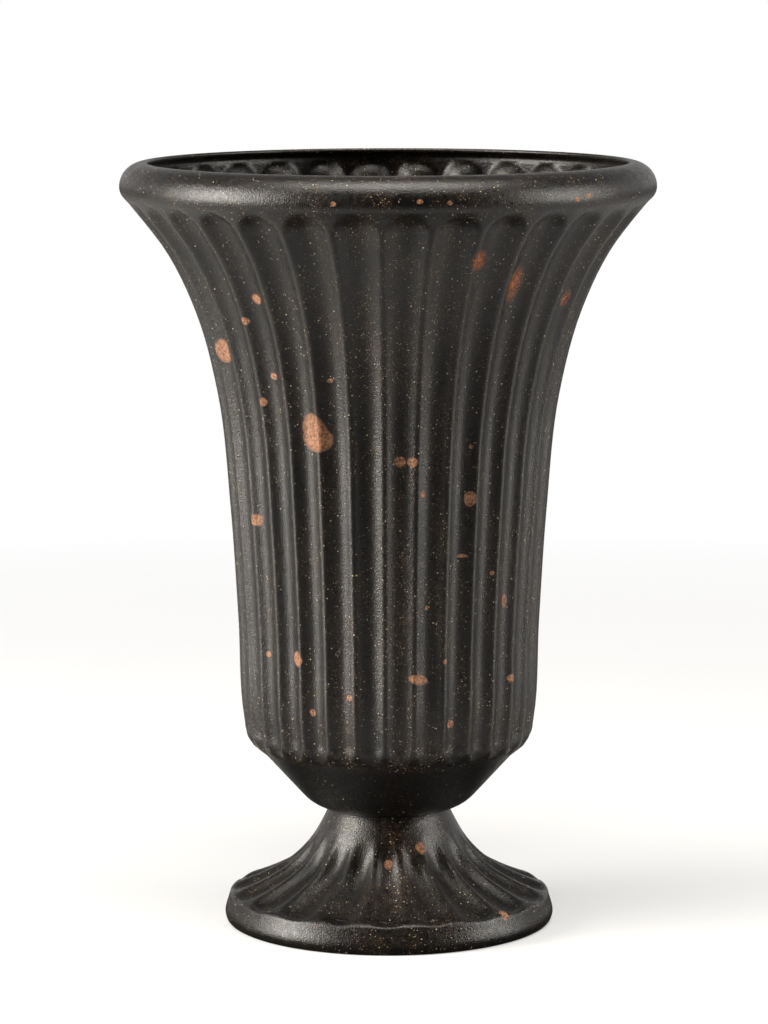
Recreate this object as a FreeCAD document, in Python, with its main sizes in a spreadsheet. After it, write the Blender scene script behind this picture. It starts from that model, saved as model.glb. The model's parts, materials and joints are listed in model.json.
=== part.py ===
"""Two-piece fluted urn planter: a trumpet bowl bolted to a flared, hollow pedestal foot.

Millimetres, +Z up, origin at the centre of the ring that the foot rests on.
The front of the urn faces -Y.
"""
import FreeCAD
import Part
import Sketcher
import math
import os

from FreeCAD import Vector

# name: (size, what it measures); angles are in degrees, the rest in millimetres
SIZES = {
    # walls
    "wall": (3.0, "even thickness of both moulded shells"),
    "floor_thickness": (4.0, "thickness of the bowl's flat floor"),
    "deck_thickness": (4.0, "thickness of the deck that closes the foot's neck"),
    # flutes of the bowl
    "bowl_flutes": (32, "number of channels round the bowl"),
    "bowl_flute_turn": (-1.5, "angle of the first ridge from the front, towards +X"),
    "bowl_ridge_share": (0.24, "part of the pitch that a ridge's rounded crest takes"),
    "base_flute_depth": (3.4, "depth of a channel where the bowl is slim"),
    "lip_flute_depth": (5.6, "depth of a channel below the lip"),
    "arch_rise": (10.5, "height in which a channel's arched top closes"),
    "hem_rise": (13.0, "height in which a channel fades out at the lower corner"),
    # the crest of the ridges, from the lower corner up to the lip: height and radius
    "corner_height": (109.0, "where the rounded lower corner turns into the base"),
    "corner_radius": (82.4, "radius there"),
    "turn_height": (114.6, "middle of the rounded lower corner"),
    "turn_radius": (85.9, "radius there"),
    "hem_radius": (87.2, "radius where the channels are fully open"),
    "slim_height": (183.0, "lower wall"),
    "slim_radius": (90.4, "radius there"),
    "waist_height": (251.0, "middle of the wall"),
    "waist_radius": (94.7, "radius there"),
    "chest_height": (320.0, "where the trumpet starts to open"),
    "chest_radius": (102.0, "radius there"),
    "throat_height": (370.0, "middle of the trumpet"),
    "throat_radius": (115.2, "radius there"),
    "flare_height": (404.0, "upper trumpet"),
    "flare_radius": (131.2, "radius there"),
    "lip_root_height": (434.0, "where the trumpet meets the rolled lip"),
    "lip_root_radius": (153.6, "radius there"),
    # rolled lip
    "lip_radius": (159.0, "largest radius of the lip"),
    "lip_height": (443.3, "height of the largest radius"),
    "lip_top_round": (14.3, "radius of the lip's top, seen in section"),
    "lip_under_round": (9.0, "radius of the lip's underside, seen in section"),
    "mouth_radius": (143.0, "radius of the mouth at the lip's inner edge"),
    "lip_edge": (2.4, "thickness of the lip at its inner edge"),
    "lip_hollow_bulge": (2.8, "how far the hollow under the lip bows out between wall and edge"),
    "inner_top_drop": (8.1, "how far below the crown the inside wall ends under the lip"),
    "inner_top_reach": (7.6, "how much further out than the mouth it ends"),
    # smooth base of the bowl
    "seat_height": (69.0, "height at which the bowl sits on the foot"),
    "base_round": (27.0, "radius between the flat bottom and the cone, in section"),
    "base_lean": (42.2, "angle of the base's cone from upright"),
    "crease_height": (103.0, "where the cone meets the rounded corner"),
    "crease_radius": (75.0, "radius there"),
    # crest of the foot's ridges, from the neck down to the band: height and radius
    "neck_radius": (36.0, "radius of the neck under the bowl"),
    "throatlet_height": (60.3, "lower neck"),
    "throatlet_radius": (40.2, "radius there"),
    "instep_height": (47.0, "where the ridges stand out fully"),
    "instep_radius": (48.4, "radius there"),
    "slope_height": (35.1, "middle of the flare"),
    "slope_radius": (60.3, "radius there"),
    "apron_height": (26.1, "lower flare"),
    "apron_radius": (75.4, "radius there"),
    "ledge_height": (18.8, "top of the foot's plain band"),
    "ledge_radius": (92.0, "radius there"),
    "band_radius": (98.9, "largest radius of the band"),
    "band_belly_height": (3.0, "height of the largest radius"),
    "band_shoulder_height": (14.0, "where the band's shoulder starts"),
    "band_shoulder_radius": (97.0, "radius there"),
    "band_shoulder_bulge": (1.4, "how far the shoulder bows out on its way to the ledge"),
    "sole_radius": (97.6, "outer radius of the ring that the foot rests on"),
    # flutes of the foot
    "foot_flutes": (20, "number of channels round the foot"),
    "foot_flute_turn": (-10.0, "angle of the first ridge from the front, towards +X"),
    "foot_ridge_share": (0.3, "part of the pitch that a ridge's rounded crest takes"),
    "foot_flute_depth": (3.8, "depth of a channel, square to the flare"),
    "foot_fade_height": (58.0, "where the foot's channels begin"),
    "foot_fade_fall": (13.0, "height in which they reach their full depth"),
    # clamp bolt and what it holds
    "bolt_radius": (4.0, "M8 bolt, outside its thread"),
    "bolt_length": (35.0, "length under the head"),
    "bolt_tip": (1.0, "chamfer of the bolt's end"),
    "head_height": (5.3, "height of the hexagon head"),
    "head_flats": (13.0, "width across the head's flats"),
    "bolt_hole_play": (0.5, "gap round the bolt in the floor and the deck"),
    "washer_play": (0.2, "gap round the bolt in the washers"),
    "seal_radius": (14.0, "rubber sealing washer"),
    "seal_thickness": (2.0, "its thickness"),
    "head_washer_radius": (12.0, "steel washer under the head"),
    "nut_washer_radius": (12.0, "steel washer under the deck"),
    "washer_thickness": (1.6, "thickness of the steel washers"),
    "running_gap": (0.05, "gap at the faces that part when the nut is undone"),
    "thread_play": (0.08, "gap between the bolt and the wing nut's thread"),
    "nut_height": (8.0, "height of the wing nut's hub"),
    "nut_top_radius": (8.0, "hub at its bearing face"),
    "nut_end_radius": (6.4, "hub at its free end"),
    "wing_reach": (18.5, "reach of each wing from the axis"),
    "wing_root": (5.6, "where a wing starts inside the hub"),
    "wing_start": (1.5, "how far below the bearing face a wing starts"),
    "wing_fall": (3.5, "how far a wing's upper edge falls towards its tip"),
    "wing_drop": (7.0, "how far the wings stand below the hub"),
    "wing_thickness": (3.0, "thickness of a wing"),
    "wing_round": (4.5, "radius of a wing's tip"),
    # drain plugs
    "drain_count": (3, "number of drain holes and plugs"),
    "drain_circle": (24.0, "radius of the circle of drain holes"),
    "drain_turn": (90.0, "angle of the first drain hole from +X"),
    "drain_hole_radius": (5.0, "drain hole in the bowl's floor"),
    "deck_hole_radius": (6.5, "larger hole below it in the foot's deck"),
    "plug_play": (0.1, "gap round a plug's stem"),
    "plug_taper": (0.4, "how much thinner the stem is at its end"),
    "plug_stem": (6.5, "length of the stem below the floor's upper face"),
    "plug_flange_radius": (7.5, "flange that covers the hole"),
    "plug_flange_thickness": (2.0, "its thickness"),
    "plug_neck_radius": (2.6, "neck of the finger grip"),
    "plug_neck_height": (3.0, "its height"),
    "plug_grip_radius": (4.6, "finger grip"),
    "plug_grip_height": (3.4, "its height"),
    # cutting
    "overshoot": (1.0, "how far a cutting tool runs past the face that it cuts"),
}

# how far along a channel's end each section lies, from fully open to closed
END_STEPS = (0.0, 0.4, 0.7, 0.9, 1.0)
# how much of a pitch the ridge takes where a channel has closed, so that the ring keeps its edges
CLOSED_RIDGE_SHARE = 0.96
# how many times the stretch of a crest curve that holds a height is halved
HALVINGS = 60
# number of sections between the band and the foot's fully open channels
FLARE_STEPS = 8
# an edge's length along X or Z, in millimetres, under which it counts as square to that axis
SQUARE = 1e-6

# heights that pieces share, as expressions on the sheet
FLOOR_TOP = "Sizes.seat_height + Sizes.floor_thickness"
DECK_UNDERSIDE = "Sizes.seat_height - Sizes.deck_thickness"
SEAL_TOP = FLOOR_TOP + " + Sizes.seal_thickness"
HEAD_SEAT = SEAL_TOP + " + Sizes.washer_thickness"
NUT_WASHER_LOW = DECK_UNDERSIDE + " - Sizes.running_gap - Sizes.washer_thickness"
NUT_TOP = NUT_WASHER_LOW + " - Sizes.running_gap"
# radii of holes, as expressions
BOLT_HOLE = "Sizes.bolt_radius + Sizes.bolt_hole_play"
WASHER_HOLE = "Sizes.bolt_radius + Sizes.washer_play"
NUT_BORE = "Sizes.bolt_radius + Sizes.thread_play"


def make_sheet(doc):
    """Write every size into the spreadsheet, one row each, under its own alias."""
    sheet = doc.addObject("Spreadsheet::Sheet", "Sizes")
    for row, (name, (value, meaning)) in enumerate(SIZES.items(), start=1):
        sheet.set("A%d" % row, meaning)
        sheet.set("B%d" % row, str(value))
        sheet.setAlias("B%d" % row, name)
    doc.recompute()
    return sheet


class Sizes:
    """Reads the sheet, so that sizes.wall is the number in the cell called wall."""

    def __init__(self, sheet):
        self.sheet = sheet

    def __getattr__(self, name):
        return float(self.sheet.get(name))


def point(radius, height):
    """A point of an outline, in the XZ plane."""
    return Vector(radius, 0, height)


def arc(start, through, end):
    """An arc of an outline through three points."""
    return Part.Arc(start, through, end).toShape()


def bowed(start, end, bulge):
    """An arc whose middle stands out by the bulge, on the right of the way from start to end."""
    along = end - start
    side = Vector(along.z, 0, -along.x)
    side.normalize()
    return arc(start, (start + end) * 0.5 + side * bulge, end)


def lines(corners):
    """Straight edges from each corner to the next."""
    return [Part.makeLine(start, end) for start, end in zip(corners, corners[1:])]


def on_circle(centre, radius, angle):
    """The point of a section's round stretch at an angle from +X, in degrees."""
    turn = math.radians(angle)
    return centre + point(radius * math.cos(turn), radius * math.sin(turn))


def crest_curve(stations):
    """A smooth curve through stations of (radius, height)."""
    curve = Part.BSplineCurve()
    curve.interpolate([point(radius, height) for radius, height in stations])
    return curve


def at_height(curve, height):
    """Radius and lean (radius gained per height) of a crest curve at a height."""
    low, high = curve.FirstParameter, curve.LastParameter
    rising = curve.value(high).z > curve.value(low).z
    for _ in range(HALVINGS):
        middle = (low + high) / 2
        if (curve.value(middle).z < height) == rising:
            low = middle
        else:
            high = middle
    along = curve.tangent(low)[0]
    return curve.value(low).x, along.x / along.z


def inset(radius, height, lean, wall):
    """The point one wall behind a point of the skin, square to it."""
    slant = math.hypot(1.0, lean)
    return radius - wall / slant, height + wall * lean / slant


def polar(radius, angle, height):
    """A point at an angle (radians) from +X."""
    return Vector(radius * math.cos(angle), radius * math.sin(angle), height)


def parabola(start, middle, end):
    """A curved edge through three points, the middle one halfway."""
    curve = Part.BezierCurve()
    curve.setPoles([start, middle * 2 - (start + end) * 0.5, end])
    return curve.toShape()


def fluted_ring(crest, depth, ridge_share, flutes, first, height):
    """A closed wire of rounded ridges and hollow channels, level at a height."""
    half_pitch = math.pi / flutes
    half_ridge = ridge_share * half_pitch
    shoulder = crest - ridge_share * depth
    edges = []
    for index in range(int(flutes)):
        ridge = first + 2 * half_pitch * index
        before = polar(shoulder, ridge - half_ridge, height)
        after = polar(shoulder, ridge + half_ridge, height)
        next_ridge = polar(shoulder, ridge + 2 * half_pitch - half_ridge, height)
        edges.append(parabola(before, polar(crest, ridge, height), after))
        edges.append(parabola(after, polar(crest - depth, ridge + half_pitch, height), next_ridge))
    return Part.Wire(edges)


def closing(ridge_share, depth, opening):
    """Ridge share and depth in a channel's rounded end; opening is 1 when open, 0 when closed."""
    share = 1 - (1 - ridge_share) * opening
    return min(share, CLOSED_RIDGE_SHARE), depth * opening ** 2


def add_shape(doc, name, shape):
    """Keep a computed shape as an object of the document."""
    feature = doc.addObject("Part::Feature", name)
    feature.Shape = shape
    return feature


def add_turned(doc, name, edges):
    """A solid turned round Z from a closed outline in the XZ plane."""
    outline = add_shape(doc, name + "_outline", Part.Face(Part.Wire(Part.__sortEdges__(edges))))
    turned = doc.addObject("Part::Revolution", name)
    turned.Source = outline
    turned.Axis = Vector(0, 0, 1)
    turned.Base = Vector(0, 0, 0)
    turned.Angle = 360
    turned.Solid = True
    return turned


def add_fluted(doc, name, rings):
    """A smooth solid through level fluted rings, from the lowest to the highest."""
    sections = [add_shape(doc, "%s_ring_%d" % (name, i), ring) for i, ring in enumerate(rings)]
    loft = doc.addObject("Part::Loft", name)
    loft.Sections = sections
    loft.Solid = True
    loft.Ruled = False
    loft.MaxDegree = 3
    return loft


def add_fused(doc, name, parts):
    """Several solids joined into one."""
    fused = doc.addObject("Part::MultiFuse", name)
    fused.Shapes = parts
    return fused


def add_cut(doc, name, base, tool):
    """One solid with another taken away."""
    cut = doc.addObject("Part::Cut", name)
    cut.Base = base
    cut.Tool = tool
    cut.Label = name
    return cut


def add_drill(doc, name, radius, centre, low, high):
    """A round tool for a hole; radius, low and high are expressions on the sheet."""
    drill = doc.addObject("Part::Cylinder", name)
    drill.setExpression("Radius", radius)
    drill.setExpression("Height", "(%s) - (%s)" % (high, low))
    drill.setExpression("Placement.Base.x", centre[0])
    drill.setExpression("Placement.Base.y", centre[1])
    drill.setExpression("Placement.Base.z", low)
    return drill


def drain_place(index):
    """Expressions for the X and Y of one of the evenly spaced drain holes."""
    angle = "1deg * (Sizes.drain_turn + 360 * %d / Sizes.drain_count)" % index
    return "Sizes.drain_circle * cos(%s)" % angle, "Sizes.drain_circle * sin(%s)" % angle


def add_floor_holes(doc, name, drain_radius, low, high):
    """Tools for the bolt's hole and the drain holes through a floor between two heights."""
    below = low + " - Sizes.overshoot"
    above = high + " + Sizes.overshoot"
    tools = [add_drill(doc, name + "_bolt_hole", BOLT_HOLE, ("0", "0"), below, above)]
    for index in range(int(doc.Sizes.drain_count)):
        label = "%s_drain_hole_%d" % (name, index + 1)
        tools.append(add_drill(doc, label, drain_radius, drain_place(index), below, above))
    return tools


def bowl_crest(s):
    """The line of the bowl's ridges, from the lower corner to the lip."""
    return crest_curve([
        (s.corner_radius, s.corner_height),
        (s.turn_radius, s.turn_height),
        (s.hem_radius, s.corner_height + s.hem_rise),
        (s.slim_radius, s.slim_height),
        (s.waist_radius, s.waist_height),
        (s.chest_radius, s.chest_height),
        (s.throat_radius, s.throat_height),
        (s.flare_radius, s.flare_height),
        (s.lip_root_radius, s.lip_root_height),
    ])


def bowl_flute_depth(s, radius):
    """Channel depth grows with the bowl's girth, from the slim wall to the lip."""
    grown = (radius - s.hem_radius) / (s.lip_root_radius - s.hem_radius)
    return s.base_flute_depth + grown * (s.lip_flute_depth - s.base_flute_depth)


def bowl_sections(s):
    """Heights of the bowl's sections, each with how open the channels are there."""
    hem_top = s.corner_height + s.hem_rise
    arch_foot = s.lip_root_height - s.arch_rise
    low = [(hem_top - step * s.hem_rise, math.sqrt(1 - step ** 2)) for step in reversed(END_STEPS)]
    high = [(arch_foot + step * s.arch_rise, math.sqrt(1 - step ** 2)) for step in END_STEPS]
    plain = [s.slim_height, s.waist_height, s.chest_height, s.throat_height, s.flare_height]
    between = [(a + b) / 2 for a, b in zip([hem_top] + plain, plain + [arch_foot])]
    middle = sorted(plain + between[:-1])
    return low + [(height, 1.0) for height in middle] + high


def bowl_rings(s, crest, behind):
    """The bowl's fluted rings, on the skin or one wall behind it."""
    first = math.radians(s.bowl_flute_turn - 90)
    rings = []
    for height, opening in bowl_sections(s):
        radius, lean = at_height(crest, height)
        share, depth = closing(s.bowl_ridge_share, bowl_flute_depth(s, radius), opening)
        if behind:
            radius, height = inset(radius, height, lean, s.wall)
        rings.append(fluted_ring(radius, depth, share, s.bowl_flutes, first, height))
    return rings


def make_bowl(doc, s):
    """The bowl: smooth base, fluted trumpet wall of even thickness, rolled lip."""
    crest = bowl_crest(s)
    outside = add_fused(doc, "bowl_outside", [
        add_turned(doc, "bowl_base", base_outline(s)),
        add_fluted(doc, "bowl_flutes_outside", bowl_rings(s, crest, behind=False)),
        add_turned(doc, "bowl_lip", lip_outline(s)),
    ])
    corner, corner_lean = at_height(crest, s.corner_height)
    low_inside = inset(corner, s.corner_height, corner_lean, s.wall)
    root, root_lean = at_height(crest, s.lip_root_height)
    high_inside = inset(root, s.lip_root_height, root_lean, s.wall)
    inside = add_fused(doc, "bowl_inside", [
        add_turned(doc, "bowl_base_inside", base_inside_outline(s, low_inside)),
        add_fluted(doc, "bowl_flutes_inside", bowl_rings(s, crest, behind=True)),
        add_turned(doc, "bowl_mouth", mouth_outline(s, high_inside)),
    ] + add_floor_holes(doc, "bowl", "Sizes.drain_hole_radius", "Sizes.seat_height", FLOOR_TOP))
    return add_cut(doc, "bowl", outside, inside)


def base_round_centre(s):
    """Centre of the round, in section, that joins the flat bottom to the cone."""
    lean = math.radians(s.base_lean)
    cone_foot = s.crease_radius - (s.crease_height - s.seat_height) * math.tan(lean)
    tangent = s.base_round * math.tan((math.pi / 2 - lean) / 2)
    return point(cone_foot - tangent, s.seat_height + s.base_round)


def base_outline(s):
    """Outside of the smooth base, from the flat bottom to the lower corner."""
    centre = base_round_centre(s)
    bottom = on_circle(centre, s.base_round, -90)
    middle = on_circle(centre, s.base_round, -(90 + s.base_lean) / 2)
    cone = on_circle(centre, s.base_round, -s.base_lean)
    crease = point(s.crease_radius, s.crease_height)
    corner = point(s.corner_radius, s.corner_height)
    corners = [cone, crease, corner, point(0, s.corner_height), point(0, s.seat_height), bottom]
    return lines(corners) + [arc(bottom, middle, cone)]


def base_inside_outline(s, top):
    """Inside of the base, one wall in, with a flat floor; top is where the waves begin."""
    centre = base_round_centre(s)
    radius = s.base_round - s.wall
    floor = s.seat_height + s.floor_thickness
    floor_angle = -math.degrees(math.asin((centre.z - floor) / radius))
    start = on_circle(centre, radius, floor_angle)
    middle = on_circle(centre, radius, (floor_angle - s.base_lean) / 2)
    cone = on_circle(centre, radius, -s.base_lean)
    slope = math.tan(math.radians(s.base_lean))
    crease = point(*inset(s.crease_radius, s.crease_height, slope, s.wall))
    corners = [cone, crease, point(*top), point(0, top[1]), point(0, floor), start]
    return lines(corners) + [arc(start, middle, cone)]


def lip_outline(s):
    """Outside of the rolled lip, down to where the trumpet meets it."""
    top_centre = point(s.lip_radius - s.lip_top_round, s.lip_height)
    under_centre = point(s.lip_radius - s.lip_under_round, s.lip_height)
    widest = point(s.lip_radius, s.lip_height)
    root = point(s.lip_root_radius, s.lip_root_height)
    reach = root - under_centre
    to_tangent = math.degrees(math.acos(s.lip_under_round / reach.Length))
    under_angle = math.degrees(math.atan2(reach.z, reach.x)) + to_tangent
    under = on_circle(under_centre, s.lip_under_round, under_angle)
    edge_angle = math.degrees(math.acos((s.mouth_radius - top_centre.x) / s.lip_top_round))
    edge = on_circle(top_centre, s.lip_top_round, edge_angle)
    return [
        arc(under, on_circle(under_centre, s.lip_under_round, under_angle / 2), widest),
        arc(widest, on_circle(top_centre, s.lip_top_round, edge_angle / 2), edge),
    ] + lines([edge, point(0, edge.z), point(0, s.lip_root_height), root, under])


def mouth_outline(s, foot):
    """Inside of the lip: the wall rises under it, turns in and leaves a thin edge."""
    crown = s.lip_height + s.lip_top_round
    over = crown + s.overshoot
    wall_top = point(s.mouth_radius + s.inner_top_reach, crown - s.inner_top_drop)
    edge_low = point(s.mouth_radius, crown - s.lip_edge)
    corners = [edge_low, point(s.mouth_radius, over), point(0, over), point(0, foot[1]), point(*foot)]
    return lines(corners + [wall_top]) + [bowed(wall_top, edge_low, s.lip_hollow_bulge)]


def foot_crest(s):
    """The line of the foot's ridges, from the band up to the neck."""
    return crest_curve([
        (s.ledge_radius, s.ledge_height),
        (s.apron_radius, s.apron_height),
        (s.slope_radius, s.slope_height),
        (s.instep_radius, s.instep_height),
        (s.throatlet_radius, s.throatlet_height),
        (s.neck_radius, s.seat_height),
    ])


def foot_sections(s):
    """Heights of the foot's sections, each with how open the channels are there."""
    open_height = s.foot_fade_height - s.foot_fade_fall
    rise = (open_height - s.ledge_height) / FLARE_STEPS
    flare = [(s.ledge_height + rise * index, 1.0) for index in range(FLARE_STEPS)]
    fade = [(open_height + step * s.foot_fade_fall, math.sqrt(1 - step ** 2)) for step in END_STEPS]
    return flare + fade


def foot_rings(s, crest, behind):
    """The foot's fluted rings, on the skin or one wall behind it."""
    first = math.radians(s.foot_flute_turn - 90)
    rings = []
    for height, opening in foot_sections(s):
        radius, lean = at_height(crest, height)
        level_depth = s.foot_flute_depth * math.hypot(1.0, lean)
        share, depth = closing(s.foot_ridge_share, level_depth, opening)
        if behind:
            radius, height = inset(radius, height, lean, s.wall)
        rings.append(fluted_ring(radius, depth, share, s.foot_flutes, first, height))
    return rings


def make_foot(doc, s):
    """The pedestal foot: a hollow flare with a deck on top and a plain band below."""
    crest = foot_crest(s)
    neck_low, neck_lean = at_height(crest, s.foot_fade_height)
    ledge, ledge_lean = at_height(crest, s.ledge_height)
    outside = add_fused(doc, "foot_outside", [
        add_turned(doc, "foot_band", band_outline(s)),
        add_fluted(doc, "foot_flutes_outside", foot_rings(s, crest, behind=False)),
        add_turned(doc, "foot_neck", neck_outline(s, crest, neck_low)),
    ])
    ledge_inside = inset(ledge, s.ledge_height, ledge_lean, s.wall)
    neck_inside = inset(neck_low, s.foot_fade_height, neck_lean, s.wall)
    inside = add_fused(doc, "foot_inside", [
        add_turned(doc, "foot_band_inside", band_inside_outline(s, ledge_inside)),
        add_fluted(doc, "foot_flutes_inside", foot_rings(s, crest, behind=True)),
        add_turned(doc, "foot_neck_inside", neck_inside_outline(s, neck_inside)),
    ] + add_floor_holes(doc, "deck", "Sizes.deck_hole_radius", DECK_UNDERSIDE, "Sizes.seat_height"))
    return add_cut(doc, "pedestal_foot", outside, inside)


def band_outline(s):
    """Outside of the foot's plain band."""
    sole = point(s.sole_radius, 0)
    belly = point(s.band_radius, s.band_belly_height)
    shoulder = point(s.band_shoulder_radius, s.band_shoulder_height)
    ledge = point(s.ledge_radius, s.ledge_height)
    corners = [ledge, point(0, s.ledge_height), point(0, 0), sole, belly, shoulder]
    return lines(corners) + [bowed(shoulder, ledge, s.band_shoulder_bulge)]


def band_inside_outline(s, top):
    """Hollow of the band, open below; top is where the waves begin."""
    low = point(s.sole_radius - s.wall, 0)
    shoulder = point(s.band_shoulder_radius - s.wall, s.band_shoulder_height - s.wall)
    below = -s.overshoot
    corners = [low, shoulder, point(*top), point(0, top[1]), point(0, below), point(low.x, below), low]
    return lines(corners)


def neck_outline(s, crest, low_radius):
    """Outside of the smooth neck above the ridges."""
    middle_height = (s.foot_fade_height + s.seat_height) / 2
    middle = point(at_height(crest, middle_height)[0], middle_height)
    low = point(low_radius, s.foot_fade_height)
    top = point(s.neck_radius, s.seat_height)
    return lines([top, point(0, top.z), point(0, low.z), low]) + [arc(low, middle, top)]


def neck_inside_outline(s, low):
    """Hollow of the neck, up to the underside of the deck."""
    under_deck = s.seat_height - s.deck_thickness
    top = point(s.neck_radius - s.wall, under_deck)
    return lines([point(*low), top, point(0, under_deck), point(0, low[1]), point(*low)])


def new_body(doc, name, places):
    """An empty body; places are expressions for X, Y and Z of its origin."""
    body = doc.addObject("PartDesign::Body", name)
    body.Label = name
    for axis, place in zip("xyz", places):
        body.setExpression("Placement.Base." + axis, place)
    return body


def new_sketch(body, name, role):
    """An empty sketch on one of the body's own origin planes."""
    sketch = body.newObject("Sketcher::SketchObject", name)
    planes = [feature for feature in body.Origin.OriginFeatures if feature.Role == role]
    sketch.AttachmentSupport = [(planes[0], "")]
    sketch.MapMode = "FlatFace"
    return sketch


def bind(sketch, constraint, expression):
    """Add a constraint whose value follows an expression on the sheet."""
    number = sketch.addConstraint(constraint)
    sketch.setExpression("Constraints[%d]" % number, expression)


def draw_circle(sketch, radius):
    """A circle round the sketch's origin; radius is an expression."""
    number = sketch.addGeometry(Part.Circle(Vector(0, 0, 0), Vector(0, 0, 1), 1), False)
    sketch.addConstraint(Sketcher.Constraint("Coincident", number, 3, -1, 1))
    bind(sketch, Sketcher.Constraint("Radius", number, 1), radius)


def draw_outline(sketch, corners):
    """A closed polygon; each corner is a pair of expressions, and "0" puts it on the axis."""
    count = len(corners)
    for index in range(count):
        # a rough first place: the constraints below pull each corner to its own
        start = Vector(index + 1, index * index, 0)
        end = Vector(index + 2, (index + 1) ** 2, 0)
        sketch.addGeometry(Part.LineSegment(start, end), False)
    for index, (across, up) in enumerate(corners):
        sketch.addConstraint(Sketcher.Constraint("Coincident", index, 2, (index + 1) % count, 1))
        if across == "0":
            sketch.addConstraint(Sketcher.Constraint("PointOnObject", index, 1, -2))
        else:
            bind(sketch, Sketcher.Constraint("DistanceX", -1, 1, index, 1, 1), across)
        if up == "0":
            sketch.addConstraint(Sketcher.Constraint("PointOnObject", index, 1, -1))
        else:
            bind(sketch, Sketcher.Constraint("DistanceY", -1, 1, index, 1, 1), up)


def pad(body, name, sketch, length, midplane=False):
    """A solid of even thickness from a sketch; length is an expression."""
    feature = body.newObject("PartDesign::Pad", name)
    feature.Profile = sketch
    feature.Midplane = midplane
    feature.setExpression("Length", length)
    return feature


def turn(body, name, sketch):
    """A solid turned round Z from a sketch on the XZ plane."""
    feature = body.newObject("PartDesign::Revolution", name)
    feature.Profile = sketch
    feature.ReferenceAxis = (sketch, ["V_Axis"])
    feature.Angle = 360
    return feature


def make_washer(doc, name, radius, thickness, low):
    """A flat ring round the bolt; every size is an expression, low that of its underside."""
    body = new_body(doc, name, ("0", "0", low))
    sketch = new_sketch(body, name + "_outline", "XY_Plane")
    draw_circle(sketch, radius)
    draw_circle(sketch, WASHER_HOLE)
    pad(body, name + "_pad", sketch, thickness)
    return body


def make_bolt(doc):
    """Hexagon-headed bolt, its head inside the bowl and its end inside the foot."""
    body = new_body(doc, "clamp_bolt", ("0", "0", HEAD_SEAT))
    head = body.newObject("PartDesign::AdditivePrism", "bolt_head")
    head.Polygon = 6
    head.setExpression("Circumradius", "Sizes.head_flats / 2 / cos(30deg)")
    head.setExpression("Height", "Sizes.head_height")
    sketch = new_sketch(body, "bolt_shank_outline", "XZ_Plane")
    draw_outline(sketch, [
        ("0", "0"),
        ("Sizes.bolt_radius", "0"),
        ("Sizes.bolt_radius", "Sizes.bolt_tip - Sizes.bolt_length"),
        ("Sizes.bolt_radius - Sizes.bolt_tip", "-Sizes.bolt_length"),
        ("0", "-Sizes.bolt_length"),
    ])
    turn(body, "bolt_shank", sketch)
    return body


def edges_along_y(shape, reach):
    """Names of the straight edges along Y that lie further than reach from the YZ plane."""
    names = []
    for number, edge in enumerate(shape.Edges, start=1):
        box = edge.BoundBox
        straight = box.XLength < SQUARE and box.ZLength < SQUARE
        if straight and abs(box.XMin) > reach:
            names.append("Edge%d" % number)
    return names


def make_wing_nut(doc, s):
    """Wing nut: a tapered hub with a clear bore and two rounded wings that reach down."""
    body = new_body(doc, "wing_nut", ("0", "0", NUT_TOP))
    hub = new_sketch(body, "nut_hub_outline", "XZ_Plane")
    draw_outline(hub, [
        (NUT_BORE, "0"),
        ("Sizes.nut_top_radius", "0"),
        ("Sizes.nut_end_radius", "-Sizes.nut_height"),
        (NUT_BORE, "-Sizes.nut_height"),
    ])
    turn(body, "nut_hub", hub)
    wing_end = "-Sizes.nut_height - Sizes.wing_drop"
    wing = new_sketch(body, "nut_wing_outline", "XZ_Plane")
    draw_outline(wing, [
        ("Sizes.wing_root", "-Sizes.wing_start"),
        ("Sizes.wing_reach", "-Sizes.wing_start - Sizes.wing_fall"),
        ("Sizes.wing_reach", wing_end),
        ("Sizes.wing_reach - 2 * Sizes.wing_round", wing_end),
        ("Sizes.wing_root", "-Sizes.nut_height"),
    ])
    one_wing = pad(body, "nut_wing", wing, "Sizes.wing_thickness", midplane=True)
    wings = body.newObject("PartDesign::Mirrored", "nut_wings")
    wings.Originals = [one_wing]
    wings.MirrorPlane = (wing, ["V_Axis"])
    body.Tip = wings
    doc.recompute()
    rounds = body.newObject("PartDesign::Fillet", "nut_wing_rounds")
    rounds.Base = (wings, edges_along_y(wings.Shape, s.wing_reach - s.wing_round))
    rounds.setExpression("Radius", "Sizes.wing_round")
    return body


def make_drain_plug(doc, index):
    """Rubber plug: a tapered stem in the floor, a flange over it and a finger grip."""
    name = "drain_plug_%d" % (index + 1)
    body = new_body(doc, name, drain_place(index) + (FLOOR_TOP,))
    sketch = new_sketch(body, name + "_outline", "XZ_Plane")
    stem = "Sizes.drain_hole_radius - Sizes.plug_play"
    grip_low = "Sizes.plug_flange_thickness + Sizes.plug_neck_height"
    grip_top = grip_low + " + Sizes.plug_grip_height"
    draw_outline(sketch, [
        ("0", "-Sizes.plug_stem"),
        (stem + " - Sizes.plug_taper", "-Sizes.plug_stem"),
        (stem, "0"),
        ("Sizes.plug_flange_radius", "0"),
        ("Sizes.plug_flange_radius", "Sizes.plug_flange_thickness"),
        ("Sizes.plug_neck_radius", "Sizes.plug_flange_thickness"),
        ("Sizes.plug_neck_radius", grip_low),
        ("Sizes.plug_grip_radius", grip_low),
        ("Sizes.plug_grip_radius", grip_top),
        ("0", grip_top),
    ])
    turn(body, name + "_turned", sketch)
    return body


def check(doc, parts):
    """Stop if anything failed to build or is not one closed solid."""
    for item in doc.Objects:
        if "Invalid" in item.State or "Error" in item.State:
            raise RuntimeError("%s failed: %s" % (item.Name, item.State))
    for part in parts:
        if part.Shape.isNull() or not part.Shape.isValid() or not part.Shape.Solids:
            raise RuntimeError("%s has no valid solid" % part.Label)


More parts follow.
